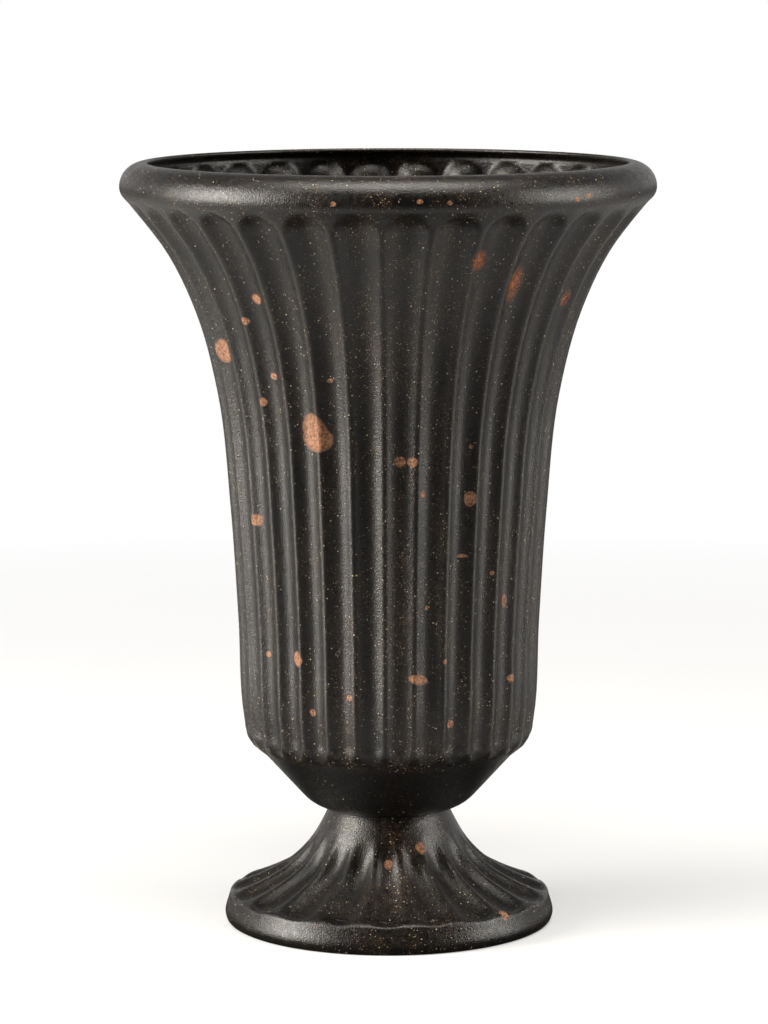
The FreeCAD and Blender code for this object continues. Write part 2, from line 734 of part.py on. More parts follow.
def main():
    """Build every piece, check it and write it as STEP."""
    doc = FreeCAD.newDocument("urn_planter")
    s = Sizes(make_sheet(doc))
    parts = [
        make_bowl(doc, s),
        make_foot(doc, s),
        make_bolt(doc),
        make_washer(doc, "sealing_washer", "Sizes.seal_radius", "Sizes.seal_thickness", FLOOR_TOP),
        make_washer(doc, "head_washer", "Sizes.head_washer_radius", "Sizes.washer_thickness", SEAL_TOP),
        make_washer(doc, "nut_washer", "Sizes.nut_washer_radius", "Sizes.washer_thickness", NUT_WASHER_LOW),
        make_wing_nut(doc, s),
    ] + [make_drain_plug(doc, index) for index in range(int(s.drain_count))]
    doc.recompute()
    check(doc, parts)
    os.makedirs("parts", exist_ok=True)
    for part in parts:
        part.Shape.exportStep("parts/%s.step" % part.Label)
        print("%s: %d solid, %.0f mm3" % (part.Label, len(part.Shape.Solids), part.Shape.Volume))


main()
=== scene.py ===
"""Dresses a two-piece fluted urn planter: its shells, fixings and plugs, and the studio round them.

Sizes are in millimetres and turn into metres when a mesh is finished. The front faces -Y, and an
azimuth is counted from the front towards +X.
"""
import json
import logging
import math
from dataclasses import dataclass
from enum import Enum
from typing import Iterable, Sequence

import bmesh
import bpy
from mathutils import Matrix, Vector
from mathutils.geometry import interpolate_bezier


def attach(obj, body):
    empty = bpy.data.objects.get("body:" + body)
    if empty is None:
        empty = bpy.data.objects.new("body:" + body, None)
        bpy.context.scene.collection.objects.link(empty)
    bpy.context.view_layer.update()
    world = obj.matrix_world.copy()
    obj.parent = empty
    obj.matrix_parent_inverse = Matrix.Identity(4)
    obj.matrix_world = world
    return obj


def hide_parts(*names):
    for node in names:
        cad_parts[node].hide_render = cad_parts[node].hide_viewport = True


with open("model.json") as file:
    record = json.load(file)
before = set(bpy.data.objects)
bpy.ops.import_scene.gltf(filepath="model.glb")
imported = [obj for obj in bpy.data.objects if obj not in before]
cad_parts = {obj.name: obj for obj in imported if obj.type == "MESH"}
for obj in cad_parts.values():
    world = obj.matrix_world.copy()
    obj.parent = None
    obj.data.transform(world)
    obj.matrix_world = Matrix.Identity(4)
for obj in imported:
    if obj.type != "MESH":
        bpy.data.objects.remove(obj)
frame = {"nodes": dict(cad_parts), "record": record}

LOG = logging.getLogger("urn_planter")
MM = 0.001
# how near two corners of a seam lie, in millimetres, to be merged
SEAM = 0.01
# mesh attribute that tells a shell's outer skin from its inner one
OUTSIDE = "outside"
# sides of the circle that stands for a hole's edge
HOLE_SIDES = 48
# how far a disc's rim may lie outside the radius that it is looked for at, in millimetres
RIM_SLACK = 0.5
# how far a drop's edge strays from its oval, and the size of the waves that it strays by
RAGGED = 0.9
RAGGED_WAVES = 3.5
WHITE = "ffffff"
Point = tuple[float, float]
Tree = bpy.types.NodeTree
Socket = bpy.types.NodeSocket


# ---------------------------------------------------------------------------------------------
# Materials
# ---------------------------------------------------------------------------------------------

def linear(code: str) -> tuple[float, float, float, float]:
    """Turn an sRGB hex colour into the linear one that a shader reads.

    Args:
        code: The colour as six hex digits.

    Returns:
        Red, green, blue and an alpha of 1, all linear.
    """
    parts = [int(code[start:start + 2], 16) / 255 for start in (0, 2, 4)]
    values = [part / 12.92 if part <= 0.04045 else ((part + 0.055) / 1.055) ** 2.4 for part in parts]
    return values[0], values[1], values[2], 1.0


def add_node(tree: Tree, kind: str, settings: dict | None = None,
             links: dict | None = None) -> bpy.types.Node:
    """Add a node with its settings and links.

    Args:
        tree: The tree that the node goes into.
        kind: The node's type, such as ShaderNodeMath.
        settings: Values by property name, input name or input number.
        links: Output sockets by the name or number of the input that each one feeds.

    Returns:
        The new node.
    """
    node = tree.nodes.new(kind)
    for name, value in (settings or {}).items():
        if isinstance(name, str) and hasattr(node, name):
            setattr(node, name, value)
        else:
            node.inputs[name].default_value = value
    for name, socket in (links or {}).items():
        tree.links.new(socket, node.inputs[name])
    return node


def empty_tree(owner: bpy.types.Material | bpy.types.World) -> Tree:
    """Give a material or world a node tree of its own, with nothing in it.

    Args:
        owner: The material or world.

    Returns:
        The empty tree.
    """
    owner.use_nodes = True
    owner.node_tree.nodes.clear()
    return owner.node_tree


class Finish:
    """A surface finish: a shader's constants, and the nodes that vary over the surface."""

    name = "finish"

    def constants(self) -> dict:
        """Values that are the same all over the surface.

        Returns:
            The values, by the shader's own sockets.
        """
        return {}

    def dress(self, tree: Tree, shader: bpy.types.Node) -> None:
        """Add the nodes that vary over the surface.

        Args:
            tree: The material's node tree.
            shader: The Principled shader that they feed.
        """

    def material(self) -> bpy.types.Material:
        """Make the material, or find it if it has been made.

        Returns:
            The finished material.
        """
        made = bpy.data.materials.get(self.name)
        if made:
            return made
        made = bpy.data.materials.new(self.name)
        tree = empty_tree(made)
        shader = add_node(tree, "ShaderNodeBsdfPrincipled", self.constants())
        self.dress(tree, shader)
        add_node(tree, "ShaderNodeOutputMaterial", links={"Surface": shader.outputs["BSDF"]})
        return made


class Slot(Enum):
    """The kinds of material that the urn's pieces are made of."""

    RESIN = "urn_resin"
    ZINC = "zinc_steel"
    SEAL = "seal_rubber"
    PLUG = "plug_rubber"


@dataclass(frozen=True)
class Splash:
    """A flat drop of paint, or a patch of dust, on the skin.

    Attributes:
        azimuth: Degrees from the front towards +X.
        height: Height of its middle.
        radius: Distance of the skin from the axis there.
        wide: Its width along the skin.
        tall: Its height along the skin.
        lean: Degrees that its top leans towards +X.
    """

    azimuth: float
    height: float
    radius: float
    wide: float
    tall: float
    lean: float = 0.0

    def mapping(self) -> dict:
        """Turn a place on the skin into one in which the drop is a ball of radius 1.

        Returns:
            The settings of a mapping that does it.
        """
        turn = math.radians(self.azimuth)
        middle = Vector((math.sin(turn) * self.radius, -math.cos(turn) * self.radius, self.height))
        return {
            "vector_type": "TEXTURE",
            "Location": middle * MM,
            "Rotation": (0.0, math.radians(self.lean), turn),
            "Scale": Vector((self.wide / 2, max(self.wide, self.tall) + 4, self.tall / 2)) * MM,
        }


@dataclass(frozen=True)
class SprayedResin(Finish):
    """Moulded resin, sprayed satin black and spattered by hand.

    The spray leaves an orange peel that breaks every highlight into grains; a dry mist of brown
    and pale paint lies over it in drifts, and a few larger drops of copper paint have landed flat.

    Attributes:
        name: The material's name.
        splashes: Drops of copper paint whose places are known.
        blooms: Patches of dusty rust.
        ground: Colour of the black.
        warm_ground: Its colour where brown has soaked into it.
        pale_mist: Colour of the pale specks.
        brown_mist: Colour of the brown ones.
        copper: Colour of the drops.
        copper_shade: Their colour at the rim and in the mottling.
        rust: Colour of the rusty flecks.
        bloom: Colour of the rusty patches.
        peel_grain: Size of the orange peel's grains, in millimetres, as are the next ones.
        peel_depth: Their depth.
        swell_size: Size of the waves under them.
        swell_depth: The waves' depth.
        blotch_size: Size of the duller and shinier blotches.
        freckle: Size of the brown freckles.
        freckle_strength: How strongly they cover the ground, from 0 to 1, as do the next ones.
        mist_grain: Spacing of the mist's specks.
        mist_dot: Largest radius of a speck.
        mist_strength: How strongly the mist covers.
        fleck_spacing: Spacing of the flecks.
        fleck_dot: Largest radius of a fleck.
        fleck_strength: How strongly the flecks cover.
        drop_spacing: Spacing of the cells that may hold a scattered drop.
        drop_dot: Largest radius of such a drop.
        drop_share: Share of the cells that hold one.
        mottle_size: Size of the copper's mottling.
        cloud_size: Size of the clouds of mist.
        drift_middle: X of the middle of the drift.
        drift_width: Its half width.
        cone_shade_height: Height of the middle of the bowl's cone, where the mist is thinned to paint shade.
        cone_shade_half: Half the height of the part that hardly gets any mist, which paints it in shade.
    """

    name: str
    splashes: tuple[Splash, ...] = ()
    blooms: tuple[Splash, ...] = ()
    ground: str = "0b0a09"
    warm_ground: str = "1b130c"
    pale_mist: str = "beb498"
    brown_mist: str = "6e5337"
    copper: str = "9c6c4b"
    copper_shade: str = "5f3e2a"
    rust: str = "7f4d30"
    bloom: str = "a85a24"
    peel_grain: float = 0.9
    peel_depth: float = 0.25
    swell_size: float = 8.0
    swell_depth: float = 0.35
    blotch_size: float = 3.2
    freckle: float = 1.1
    freckle_strength: float = 0.28
    mist_grain: float = 1.15
    mist_dot: float = 0.36
    mist_strength: float = 0.7
    fleck_spacing: float = 2.1
    fleck_dot: float = 0.5
    fleck_strength: float = 0.8
    drop_spacing: float = 26.0
    drop_dot: float = 1.5
    drop_share: float = 0.12
    mottle_size: float = 1.3
    cloud_size: float = 17.0
    drift_middle: float = 6.0
    drift_width: float = 48.0
    cone_shade_height: float = 87.0
    cone_shade_half: float = 16.0

    def constants(self) -> dict:
        """Satin paint is a plain dielectric.

        Returns:
            The shader's constants.
        """
        return {"IOR": 1.5}

    def dots(self, tree: Tree, place: Socket, spacing: float, size: float,
             share: Socket | float) -> tuple[Socket, Socket]:
        """Scatter round dots, each of its own size, over a share of evenly spread cells.

        Args:
            tree: The material's node tree.
            place: Where on the object the shaded point is, in metres.
            spacing: Distance between neighbouring cells, in millimetres.
            size: Largest radius of a dot, in millimetres.
            share: How many of the cells hold a dot, from 0 to 1.

        Returns:
            The dots' mask, and a random number that is steady over each dot.
        """
        cells = add_node(tree, "ShaderNodeTexVoronoi", {"Scale": 1 / (spacing * MM)},
                         {"Vector": place})
        random = add_node(tree, "ShaderNodeSeparateColor", links={"Color": cells.outputs["Color"]})
        chosen = add_node(tree, "ShaderNodeMath", {"operation": "LESS_THAN"}, {0: random.outputs[0]})
        if isinstance(share, float):
            chosen.inputs[1].default_value = share
        else:
            tree.links.new(share, chosen.inputs[1])
        reach = size / spacing
        limit = add_node(tree, "ShaderNodeMapRange", {"To Min": reach * 0.35, "To Max": reach},
                         {"Value": random.outputs[1]})
        inside = add_node(tree, "ShaderNodeMath", {"operation": "SUBTRACT"},
                          {0: limit.outputs["Result"], 1: cells.outputs["Distance"]})
        edge = add_node(tree, "ShaderNodeMapRange", {"From Max": reach * 0.25}, {"Value": inside.outputs[0]})
        mask = add_node(tree, "ShaderNodeMath", {"operation": "MULTIPLY"},
                        {0: edge.outputs["Result"], 1: chosen.outputs[0]})
        return mask.outputs[0], random.outputs[2]

    def nearest_drop(self, tree: Tree, place: Socket, drops: Sequence[Splash]) -> Socket:
        """How far the nearest of some drops is, with slightly ragged edges.

        Args:
            tree: The material's node tree.
            place: Where on the object the shaded point is, in metres.
            drops: The drops, whose places are known.

        Returns:
            The distance: 0 in the middle of a drop and 1 at its edge.
        """
        waver = add_node(tree, "ShaderNodeTexNoise", {"Scale": 1 / (RAGGED_WAVES * MM), "Detail": 3.0},
                         {"Vector": place})
        shift = add_node(tree, "ShaderNodeVectorMath",
                         {"operation": "MULTIPLY_ADD", 1: (2 * RAGGED * MM,) * 3, 2: (-RAGGED * MM,) * 3},
                         {0: waver.outputs["Color"]})
        ragged = add_node(tree, "ShaderNodeVectorMath", {"operation": "ADD"},
                          {0: place, 1: shift.outputs[0]})
        nearest = None
        for splash in drops:
            local = add_node(tree, "ShaderNodeMapping", splash.mapping(), {"Vector": ragged.outputs[0]})
            distance = add_node(tree, "ShaderNodeVectorMath", {"operation": "LENGTH"},
                                {0: local.outputs["Vector"]}).outputs["Value"]
            if nearest is not None:
                distance = add_node(tree, "ShaderNodeMath", {"operation": "MINIMUM"},
                                    {0: nearest, 1: distance}).outputs[0]
            nearest = distance
        return nearest

    def density(self, tree: Tree, place: Socket) -> Socket:
        """How thick the dry mist lies, from 0 to 1.

        It lies in clouds and in a drift down the front and back. It is thinned on the bowl's cone, so
        that the bare black there is painted shade for the downward-facing cone.

        Args:
            tree: The material's node tree.
            place: Where on the object the shaded point is, in metres.

        Returns:
            The density.
        """
        stretched = add_node(tree, "ShaderNodeMapping", {"Scale": (1.0, 1.0, 0.3)}, {"Vector": place})
        cloud = add_node(tree, "ShaderNodeTexNoise",
                         {"Scale": 1 / (self.cloud_size * MM), "Detail": 5.0, "Roughness": 0.6},
                         {"Vector": stretched.outputs["Vector"]})
        clouds = add_node(tree, "ShaderNodeMapRange", {"From Min": 0.38, "From Max": 0.68},
                          {"Value": cloud.outputs["Fac"]})
        apart = add_node(tree, "ShaderNodeSeparateXYZ", links={"Vector": place})
        off = add_node(tree, "ShaderNodeMath", {"operation": "SUBTRACT", 1: self.drift_middle * MM},
                       {0: apart.outputs["X"]})
        away = add_node(tree, "ShaderNodeMath", {"operation": "ABSOLUTE"}, {0: off.outputs[0]})
        drift = add_node(tree, "ShaderNodeMapRange",
                         {"From Min": self.drift_width * MM, "From Max": 0.0,
                          "To Min": 0.55, "To Max": 1.15},
                         {"Value": away.outputs[0]})
        both = add_node(tree, "ShaderNodeMath", {"operation": "MULTIPLY", "use_clamp": True},
                        {0: clouds.outputs["Result"], 1: drift.outputs["Result"]})
        # thin the mist on the bowl's cone: painted shade, as the cone faces down and lies in shade
        below = add_node(tree, "ShaderNodeMath", {"operation": "SUBTRACT", 1: self.cone_shade_height * MM},
                         {0: apart.outputs["Z"]})
        clear = add_node(tree, "ShaderNodeMath", {"operation": "ABSOLUTE"}, {0: below.outputs[0]})
        reached = add_node(tree, "ShaderNodeMapRange",
                           {"From Min": self.cone_shade_half * MM, "From Max": (self.cone_shade_half + 5) * MM,
                            "To Min": 0.12},
                           {"Value": clear.outputs[0]})
        return self.scaled(tree, both.outputs[0], reached.outputs["Result"])

    def freckled(self, tree: Tree, place: Socket, density: Socket, colour: Socket) -> Socket:
        """Break the ground with brown freckles, where the mist lies thick.

        Args:
            tree: The material's node tree.
            place: Where on the object the shaded point is, in metres.
            density: How thick the mist lies.
            colour: The ground's colour.

        Returns:
            The freckled colour.
        """
        speck = add_node(tree, "ShaderNodeTexNoise", {"Scale": 1 / (self.freckle * MM), "Detail": 2.0},
                         {"Vector": place})
        specks = add_node(tree, "ShaderNodeMapRange", {"From Min": 0.52, "From Max": 0.64},
                          {"Value": speck.outputs["Fac"]})
        share = self.scaled(tree, self.scaled(tree, specks.outputs["Result"], density),
                            self.freckle_strength)
        return self.blend(tree, share, colour, self.brown_mist)

    def blend(self, tree: Tree, share: Socket, low: Socket | str, high: Socket | str) -> Socket:
        """Mix two colours.

        Args:
            tree: The material's node tree.
            share: How much of the second colour shows.
            low: The first colour, as a hex value or a socket.
            high: The second one.

        Returns:
            The mixed colour.
        """
        settings, links = {"data_type": "RGBA"}, {0: share}
        for number, colour in ((6, low), (7, high)):
            if isinstance(colour, str):
                settings[number] = linear(colour)
            else:
                links[number] = colour
        return add_node(tree, "ShaderNodeMix", settings, links).outputs[2]

    def scaled(self, tree: Tree, value: Socket, factor: Socket | float) -> Socket:
        """Multiply a value by a number or another value.

        Args:
            tree: The material's node tree.
            value: The value.
            factor: What it is multiplied by.

        Returns:
            The product.
        """
        settings, links = {"operation": "MULTIPLY"}, {0: value}
        if isinstance(factor, float):
            settings[1] = factor
        else:
            links[1] = factor
        return add_node(tree, "ShaderNodeMath", settings, links).outputs[0]

    def dress(self, tree: Tree, shader: bpy.types.Node) -> None:
        """Paint the ground, the mist and the drops, then the orange peel.

        Args:
            tree: The material's node tree.
            shader: The Principled shader that they feed.
        """
        place = add_node(tree, "ShaderNodeTexCoord").outputs["Object"]
        outside = add_node(tree, "ShaderNodeAttribute", {"attribute_name": OUTSIDE}).outputs["Fac"]
        blotch = add_node(tree, "ShaderNodeTexNoise", {"Scale": 1 / (self.blotch_size * MM), "Detail": 4.0},
                          {"Vector": place}).outputs["Fac"]
        mottle = add_node(tree, "ShaderNodeTexNoise", {"Scale": 1 / (self.mottle_size * MM), "Detail": 3.0},
                          {"Vector": place})
        mottled = add_node(tree, "ShaderNodeMapRange", {"From Min": 0.40, "From Max": 0.58},
                           {"Value": mottle.outputs["Fac"]}).outputs["Result"]
        colour = self.speckled(tree, place, blotch)
        if self.blooms:
            nearest = self.nearest_drop(tree, place, self.blooms)
            near = add_node(tree, "ShaderNodeMapRange", {"From Min": 1.15, "From Max": 0.1},
                            {"Value": nearest})
            dust = self.scaled(tree, self.scaled(tree, near.outputs["Result"], mottled), outside)
            colour = self.blend(tree, dust, colour, self.bloom)
        drops, tan = self.copper_drops(tree, place, mottled)
        paint = self.scaled(tree, drops, outside)
        copper = self.blend(tree, tan, self.copper_shade, self.copper)
        tree.links.new(self.blend(tree, paint, colour, copper), shader.inputs["Base Color"])
        rough = add_node(tree, "ShaderNodeMapRange",
                         {"From Min": 0.3, "From Max": 0.7, "To Min": 0.27, "To Max": 0.42},
                         {"Value": blotch})
        rougher = add_node(tree, "ShaderNodeMath", {"operation": "MULTIPLY_ADD", 1: 0.2},
                           {0: paint, 2: rough.outputs["Result"]})
        tree.links.new(rougher.outputs[0], shader.inputs["Roughness"])
        self.orange_peel(tree, place, shader)

    def speckled(self, tree: Tree, place: Socket, blotch: Socket) -> Socket:
        """Colour of the black under its brown stains, its mist and its flecks.

        Args:
            tree: The material's node tree.
            place: Where on the object the shaded point is, in metres.
            blotch: The noise of the blotches.

        Returns:
            The colour.
        """
        density = self.density(tree, place)
        stains = add_node(tree, "ShaderNodeMapRange", {"From Min": 0.42, "From Max": 0.62},
                          {"Value": blotch})
        warmth = self.scaled(tree, density, stains.outputs["Result"])
        colour = self.blend(tree, warmth, self.ground, self.warm_ground)
        colour = self.freckled(tree, place, density, colour)
        share = add_node(tree, "ShaderNodeMapRange", {"To Min": 0.08, "To Max": 0.8},
                         {"Value": density}).outputs["Result"]
        mist, tint = self.dots(tree, place, self.mist_grain, self.mist_dot, share)
        mist_colour = self.blend(tree, tint, self.brown_mist, self.pale_mist)
        colour = self.blend(tree, self.scaled(tree, mist, self.mist_strength), colour, mist_colour)
        flecks, tint = self.dots(tree, place, self.fleck_spacing, self.fleck_dot, share)
        often_pale = add_node(tree, "ShaderNodeMapRange", {"From Min": 0.1, "From Max": 0.5},
                              {"Value": tint})
        fleck_colour = self.blend(tree, often_pale.outputs["Result"], self.rust, self.pale_mist)
        return self.blend(tree, self.scaled(tree, flecks, self.fleck_strength), colour, fleck_colour)

    def copper_drops(self, tree: Tree, place: Socket, mottled: Socket) -> tuple[Socket, Socket]:
        """The scattered drops of copper paint, and those whose places are known.

        Args:
            tree: The material's node tree.
            place: Where on the object the shaded point is, in metres.
            mottled: How light the copper's mottling is.

        Returns:
            The drops' mask, and how light the copper is: less so at the rim of a known drop.
        """
        drops, _ = self.dots(tree, place, self.drop_spacing, self.drop_dot, self.drop_share)
        if not self.splashes:
            return drops, mottled
        nearest = self.nearest_drop(tree, place, self.splashes)
        known = add_node(tree, "ShaderNodeMapRange", {"From Min": 1.06, "From Max": 0.94},
                         {"Value": nearest})
        drops = add_node(tree, "ShaderNodeMath", {"operation": "MAXIMUM"},
                         {0: drops, 1: known.outputs["Result"]}).outputs[0]
        middle = add_node(tree, "ShaderNodeMapRange", {"From Min": 0.98, "From Max": 0.72, "To Min": 0.25},
                          {"Value": nearest})
        return drops, self.scaled(tree, mottled, middle.outputs["Result"])

    def orange_peel(self, tree: Tree, place: Socket, shader: bpy.types.Node) -> None:
        """Let the skin swell gently, and cover it with the spray's fine grains.

        Args:
            tree: The material's node tree.
            place: Where on the object the shaded point is, in metres.
            shader: The Principled shader that gets the relief.
        """
        normal = {}
        for size, strength, depth in ((self.swell_size, 0.5, self.swell_depth),
                                      (self.peel_grain, 1.0, self.peel_depth)):
            noise = add_node(tree, "ShaderNodeTexNoise", {"Scale": 1 / (size * MM), "Detail": 2.0},
                             {"Vector": place})
            bump = add_node(tree, "ShaderNodeBump", {"Strength": strength, "Distance": depth * MM},
                            {"Height": noise.outputs["Fac"], **normal})
            normal = {"Normal": bump.outputs["Normal"]}
        tree.links.new(normal["Normal"], shader.inputs["Normal"])


@dataclass(frozen=True)
class ZincPlate(Finish):
    """Bright zinc plate on pressed and rolled steel: bluish white, with a soft, patchy lustre."""

    name: str = "zinc_plated_steel"
    plate: str = "c9ccd0"
    dulled: str = "8f918f"
    patch_size: float = 5.0
    scratch_size: float = 0.6

    def constants(self) -> dict:
        """A bare metal.

        Returns:
            The shader's constants.
        """
        return {"Metallic": 1.0}

    def dress(self, tree: Tree, shader: bpy.types.Node) -> None:
        """Dull the plate in patches and scratch it finely.

        Args:
            tree: The material's node tree.
            shader: The Principled shader that they feed.
        """
        place = add_node(tree, "ShaderNodeTexCoord").outputs["Object"]
        patches = add_node(tree, "ShaderNodeTexNoise", {"Scale": 1 / (self.patch_size * MM), "Detail": 4.0},
                           {"Vector": place})
        colour = add_node(tree, "ShaderNodeMix",
                          {"data_type": "RGBA", 6: linear(self.plate), 7: linear(self.dulled)},
                          {0: patches.outputs["Fac"]})
        tree.links.new(colour.outputs[2], shader.inputs["Base Color"])
        rough = add_node(tree, "ShaderNodeMapRange", {"To Min": 0.22, "To Max": 0.48},
                         {"Value": patches.outputs["Fac"]})
        tree.links.new(rough.outputs["Result"], shader.inputs["Roughness"])
        scratches = add_node(tree, "ShaderNodeTexNoise",
                             {"Scale": 1 / (self.scratch_size * MM), "Detail": 2.0},
                             {"Vector": place})
        bump = add_node(tree, "ShaderNodeBump", {"Strength": 0.3, "Distance": 0.02 * MM},
                        {"Height": scratches.outputs["Fac"]})
        tree.links.new(bump.outputs["Normal"], shader.inputs["Normal"])


@dataclass(frozen=True)
class MouldedRubber(Finish):
    """Compression-moulded black rubber: dull, with a bloom of pale dust in its pores."""

    name: str = "moulded_rubber"
    rubber: str = "202022"
    bloom: str = "3a3a3a"
    cloud_size: float = 4.0
    pore_size: float = 0.5

    def constants(self) -> dict:
        """Rubber reflects a little more than water does.

        Returns:
            The shader's constants.
        """
        return {"IOR": 1.52}

    def dress(self, tree: Tree, shader: bpy.types.Node) -> None:
        """Cloud the surface and give it its pores.

        Args:
            tree: The material's node tree.
            shader: The Principled shader that they feed.
        """
        place = add_node(tree, "ShaderNodeTexCoord").outputs["Object"]
        cloud = add_node(tree, "ShaderNodeTexNoise", {"Scale": 1 / (self.cloud_size * MM), "Detail": 5.0},
                         {"Vector": place})
        colour = add_node(tree, "ShaderNodeMix",
                          {"data_type": "RGBA", 6: linear(self.rubber), 7: linear(self.bloom)},
                          {0: cloud.outputs["Fac"]})
        tree.links.new(colour.outputs[2], shader.inputs["Base Color"])
        rough = add_node(tree, "ShaderNodeMapRange", {"To Min": 0.55, "To Max": 0.8},
                         {"Value": cloud.outputs["Fac"]})
        tree.links.new(rough.outputs["Result"], shader.inputs["Roughness"])
        pores = add_node(tree, "ShaderNodeTexNoise", {"Scale": 1 / (self.pore_size * MM)}, {"Vector": place})
        bump = add_node(tree, "ShaderNodeBump", {"Strength": 0.5, "Distance": 0.03 * MM},
                        {"Height": pores.outputs["Fac"]})
        tree.links.new(bump.outputs["Normal"], shader.inputs["Normal"])


# ---------------------------------------------------------------------------------------------
# Profiles and shells
# ---------------------------------------------------------------------------------------------

@dataclass
class Station:
    """A place on a shell's profile.

    Attributes:
        radius: Distance from the axis.
        height: Height above the ground.
        closing: How far into a channel's end it lies: 0 where open, 1 at the end, more beyond it.
        depth: Depth of the channels here, negative on the inner skin, which they push out.
        outside: 1 on the outer skin, 0 on the inner one.
        normal: Direction square to the skin, out of the material, as radius and height.
    """

    radius: float
    height: float
    closing: float = 9.0
    depth: float = 0.0
    outside: float = 1.0
    normal: Vector | None = None


def round_stretch(centre: Point, radius: float, start: float, end: float, steps: int) -> list[Station]:
    """Stations along an arc of the profile.

    Args:
        centre: The arc's centre, as radius and height.
        radius: The arc's radius.
        start: Angle of the first station, in degrees from straight outwards.
        end: Angle of the last station.
        steps: Number of steps between them.

    Returns:
        The stations, both ends included.
    """
    angles = [math.radians(start + (end - start) * step / steps) for step in range(steps + 1)]
    return [Station(centre[0] + radius * math.cos(a), centre[1] + radius * math.sin(a)) for a in angles]


def straight_stretch(start: Point, end: Point, steps: int) -> list[Station]:
    """Stations along a straight part of the profile.

    Args:
        start: The first station's radius and height.
        end: The last one's.
        steps: Number of steps between them.

    Returns:
        The stations, both ends included.
    """
    return [Station(start[0] + (end[0] - start[0]) * step / steps,
                    start[1] + (end[1] - start[1]) * step / steps) for step in range(steps + 1)]


def smooth_stretch(knots: Sequence[Point], spacing: float) -> list[Station]:
    """Stations along a smooth curve through knots.

    Args:
        knots: Places that the curve passes through, as radius and height.
        spacing: Largest distance between stations.

    Returns:
        The stations, the first and last knot included.
    """
    points = [Vector((radius, height)) for radius, height in knots]
    slopes = []
    for index, here in enumerate(points):
        before = points[max(index - 1, 0)]
        after = points[min(index + 1, len(points) - 1)]
        low, high = (here - before).length or 1.0, (after - here).length or 1.0
        slope = (here - before) / low * high + (after - here) / high * low
        slopes.append(slope.normalized())
    stations = [Station(*knots[0])]
    for index in range(len(points) - 1):
        start, end = points[index], points[index + 1]
        reach = (end - start).length / 3
        count = max(2, math.ceil((end - start).length / spacing) + 1)
        curve = interpolate_bezier(start, start + slopes[index] * reach, end - slopes[index + 1] * reach,
                                   end, count)
        stations += [Station(place[0], place[1]) for place in curve[1:]]
    return stations


def square_up(stations: Sequence[Station]) -> None:
    """Give every station the direction square to the profile, on the right of its way.

    Args:
        stations: The profile, in order.
    """
    for index, station in enumerate(stations):
        before = stations[max(index - 1, 0)]
        after = stations[min(index + 1, len(stations) - 1)]
        along = Vector((after.radius - before.radius, after.height - before.height))
        station.normal = Vector((along.y, -along.x)).normalized()


@dataclass
class Fluting:
    """Channels side by side round a shell, with narrow rounded ridges between them.

    Attributes:
        count: Number of channels.
        turn: Azimuth of the first ridge, in degrees.
        channel: Part of the pitch that a channel takes, the rest being its ridge.
        columns: Columns of faces to each channel.
        gather: How strongly the columns draw together at the ridges, from 0 to 1.
    """

    count: int
    turn: float
    channel: float
    columns: int
    gather: float = 0.5

    def depth_at(self, across: float, closing: float) -> float:
        """Depth of a channel's surface below the ridges' crests, as a part of its full depth.

        Args:
            across: Place across the channel: 0 in its middle, 1 on the crest of a ridge.
            closing: Place along it: 0 where it is open, 1 at its rounded end.

        Returns:
            The depth, from 0 on a crest to 1 in an open channel's middle.
        """
        reach = math.hypot(across / self.channel, closing)
        if reach <= 1:
            return 1 - self.channel * reach ** 2
        beyond = (reach - 1) * self.channel / (1 - self.channel)
        return (1 - self.channel) * (1 - beyond) ** 2 if beyond < 1 else 0.0

    def gathered(self, azimuth: float) -> float:
        """Move an evenly spread column towards its nearest ridge.

        Args:
            azimuth: The column's azimuth, in radians.

        Returns:
            Its new azimuth, in radians.
        """
        pitch = math.tau / self.count
        share = ((azimuth - math.radians(self.turn)) / pitch) % 1
        return azimuth - self.gather * math.sin(math.tau * share) / math.tau * pitch

    def across(self, azimuth: float) -> float:
        """Place across a channel.

        Args:
            azimuth: The place's azimuth, in radians.

        Returns:
            The place: 0 in the channel's middle, 1 on the crest of a ridge.
        """
        share = ((azimuth - math.radians(self.turn)) / (math.tau / self.count)) % 1
        return abs(1 - 2 * share)


def spin_shell(profile: Sequence[Station], fluting: Fluting) -> bmesh.types.BMesh:
    """Turn a profile round Z and press the channels into it.

    Args:
        profile: The stations, each with its normal.
        fluting: The channels.

    Returns:
        The shell as a new bmesh, in millimetres, open at both ends of the profile.
    """
    bm = bmesh.new()
    row = bm.verts.layers.int.new("row")
    side = bm.verts.layers.float.new(OUTSIDE)
    chain = []
    for number, station in enumerate(profile):
        vert = bm.verts.new((0.0, -station.radius, station.height))
        vert[row] = number
        vert[side] = station.outside
        chain.append(vert)
    edges = [bm.edges.new(pair) for pair in zip(chain, chain[1:])]
    pitch = math.tau / fluting.count
    bmesh.ops.spin(bm, geom=chain + edges, axis=(0, 0, 1), angle=pitch, steps=fluting.columns)
    sector = bm.verts[:] + bm.edges[:] + bm.faces[:]
    bmesh.ops.spin(bm, geom=sector, axis=(0, 0, 1), angle=math.tau - pitch, steps=fluting.count - 1,
                   use_duplicate=True)
    bmesh.ops.remove_doubles(bm, verts=bm.verts, dist=SEAM)
    for vert in bm.verts:
        station = profile[vert[row]]
        azimuth = fluting.gathered(math.atan2(vert.co.x, -vert.co.y))
        sunk = station.depth * fluting.depth_at(fluting.across(azimuth), station.closing)
        radius = station.radius - station.normal.x * sunk
        height = station.height - station.normal.y * sunk
        vert.co = (math.sin(azimuth) * radius, -math.cos(azimuth) * radius, height)
    return bm


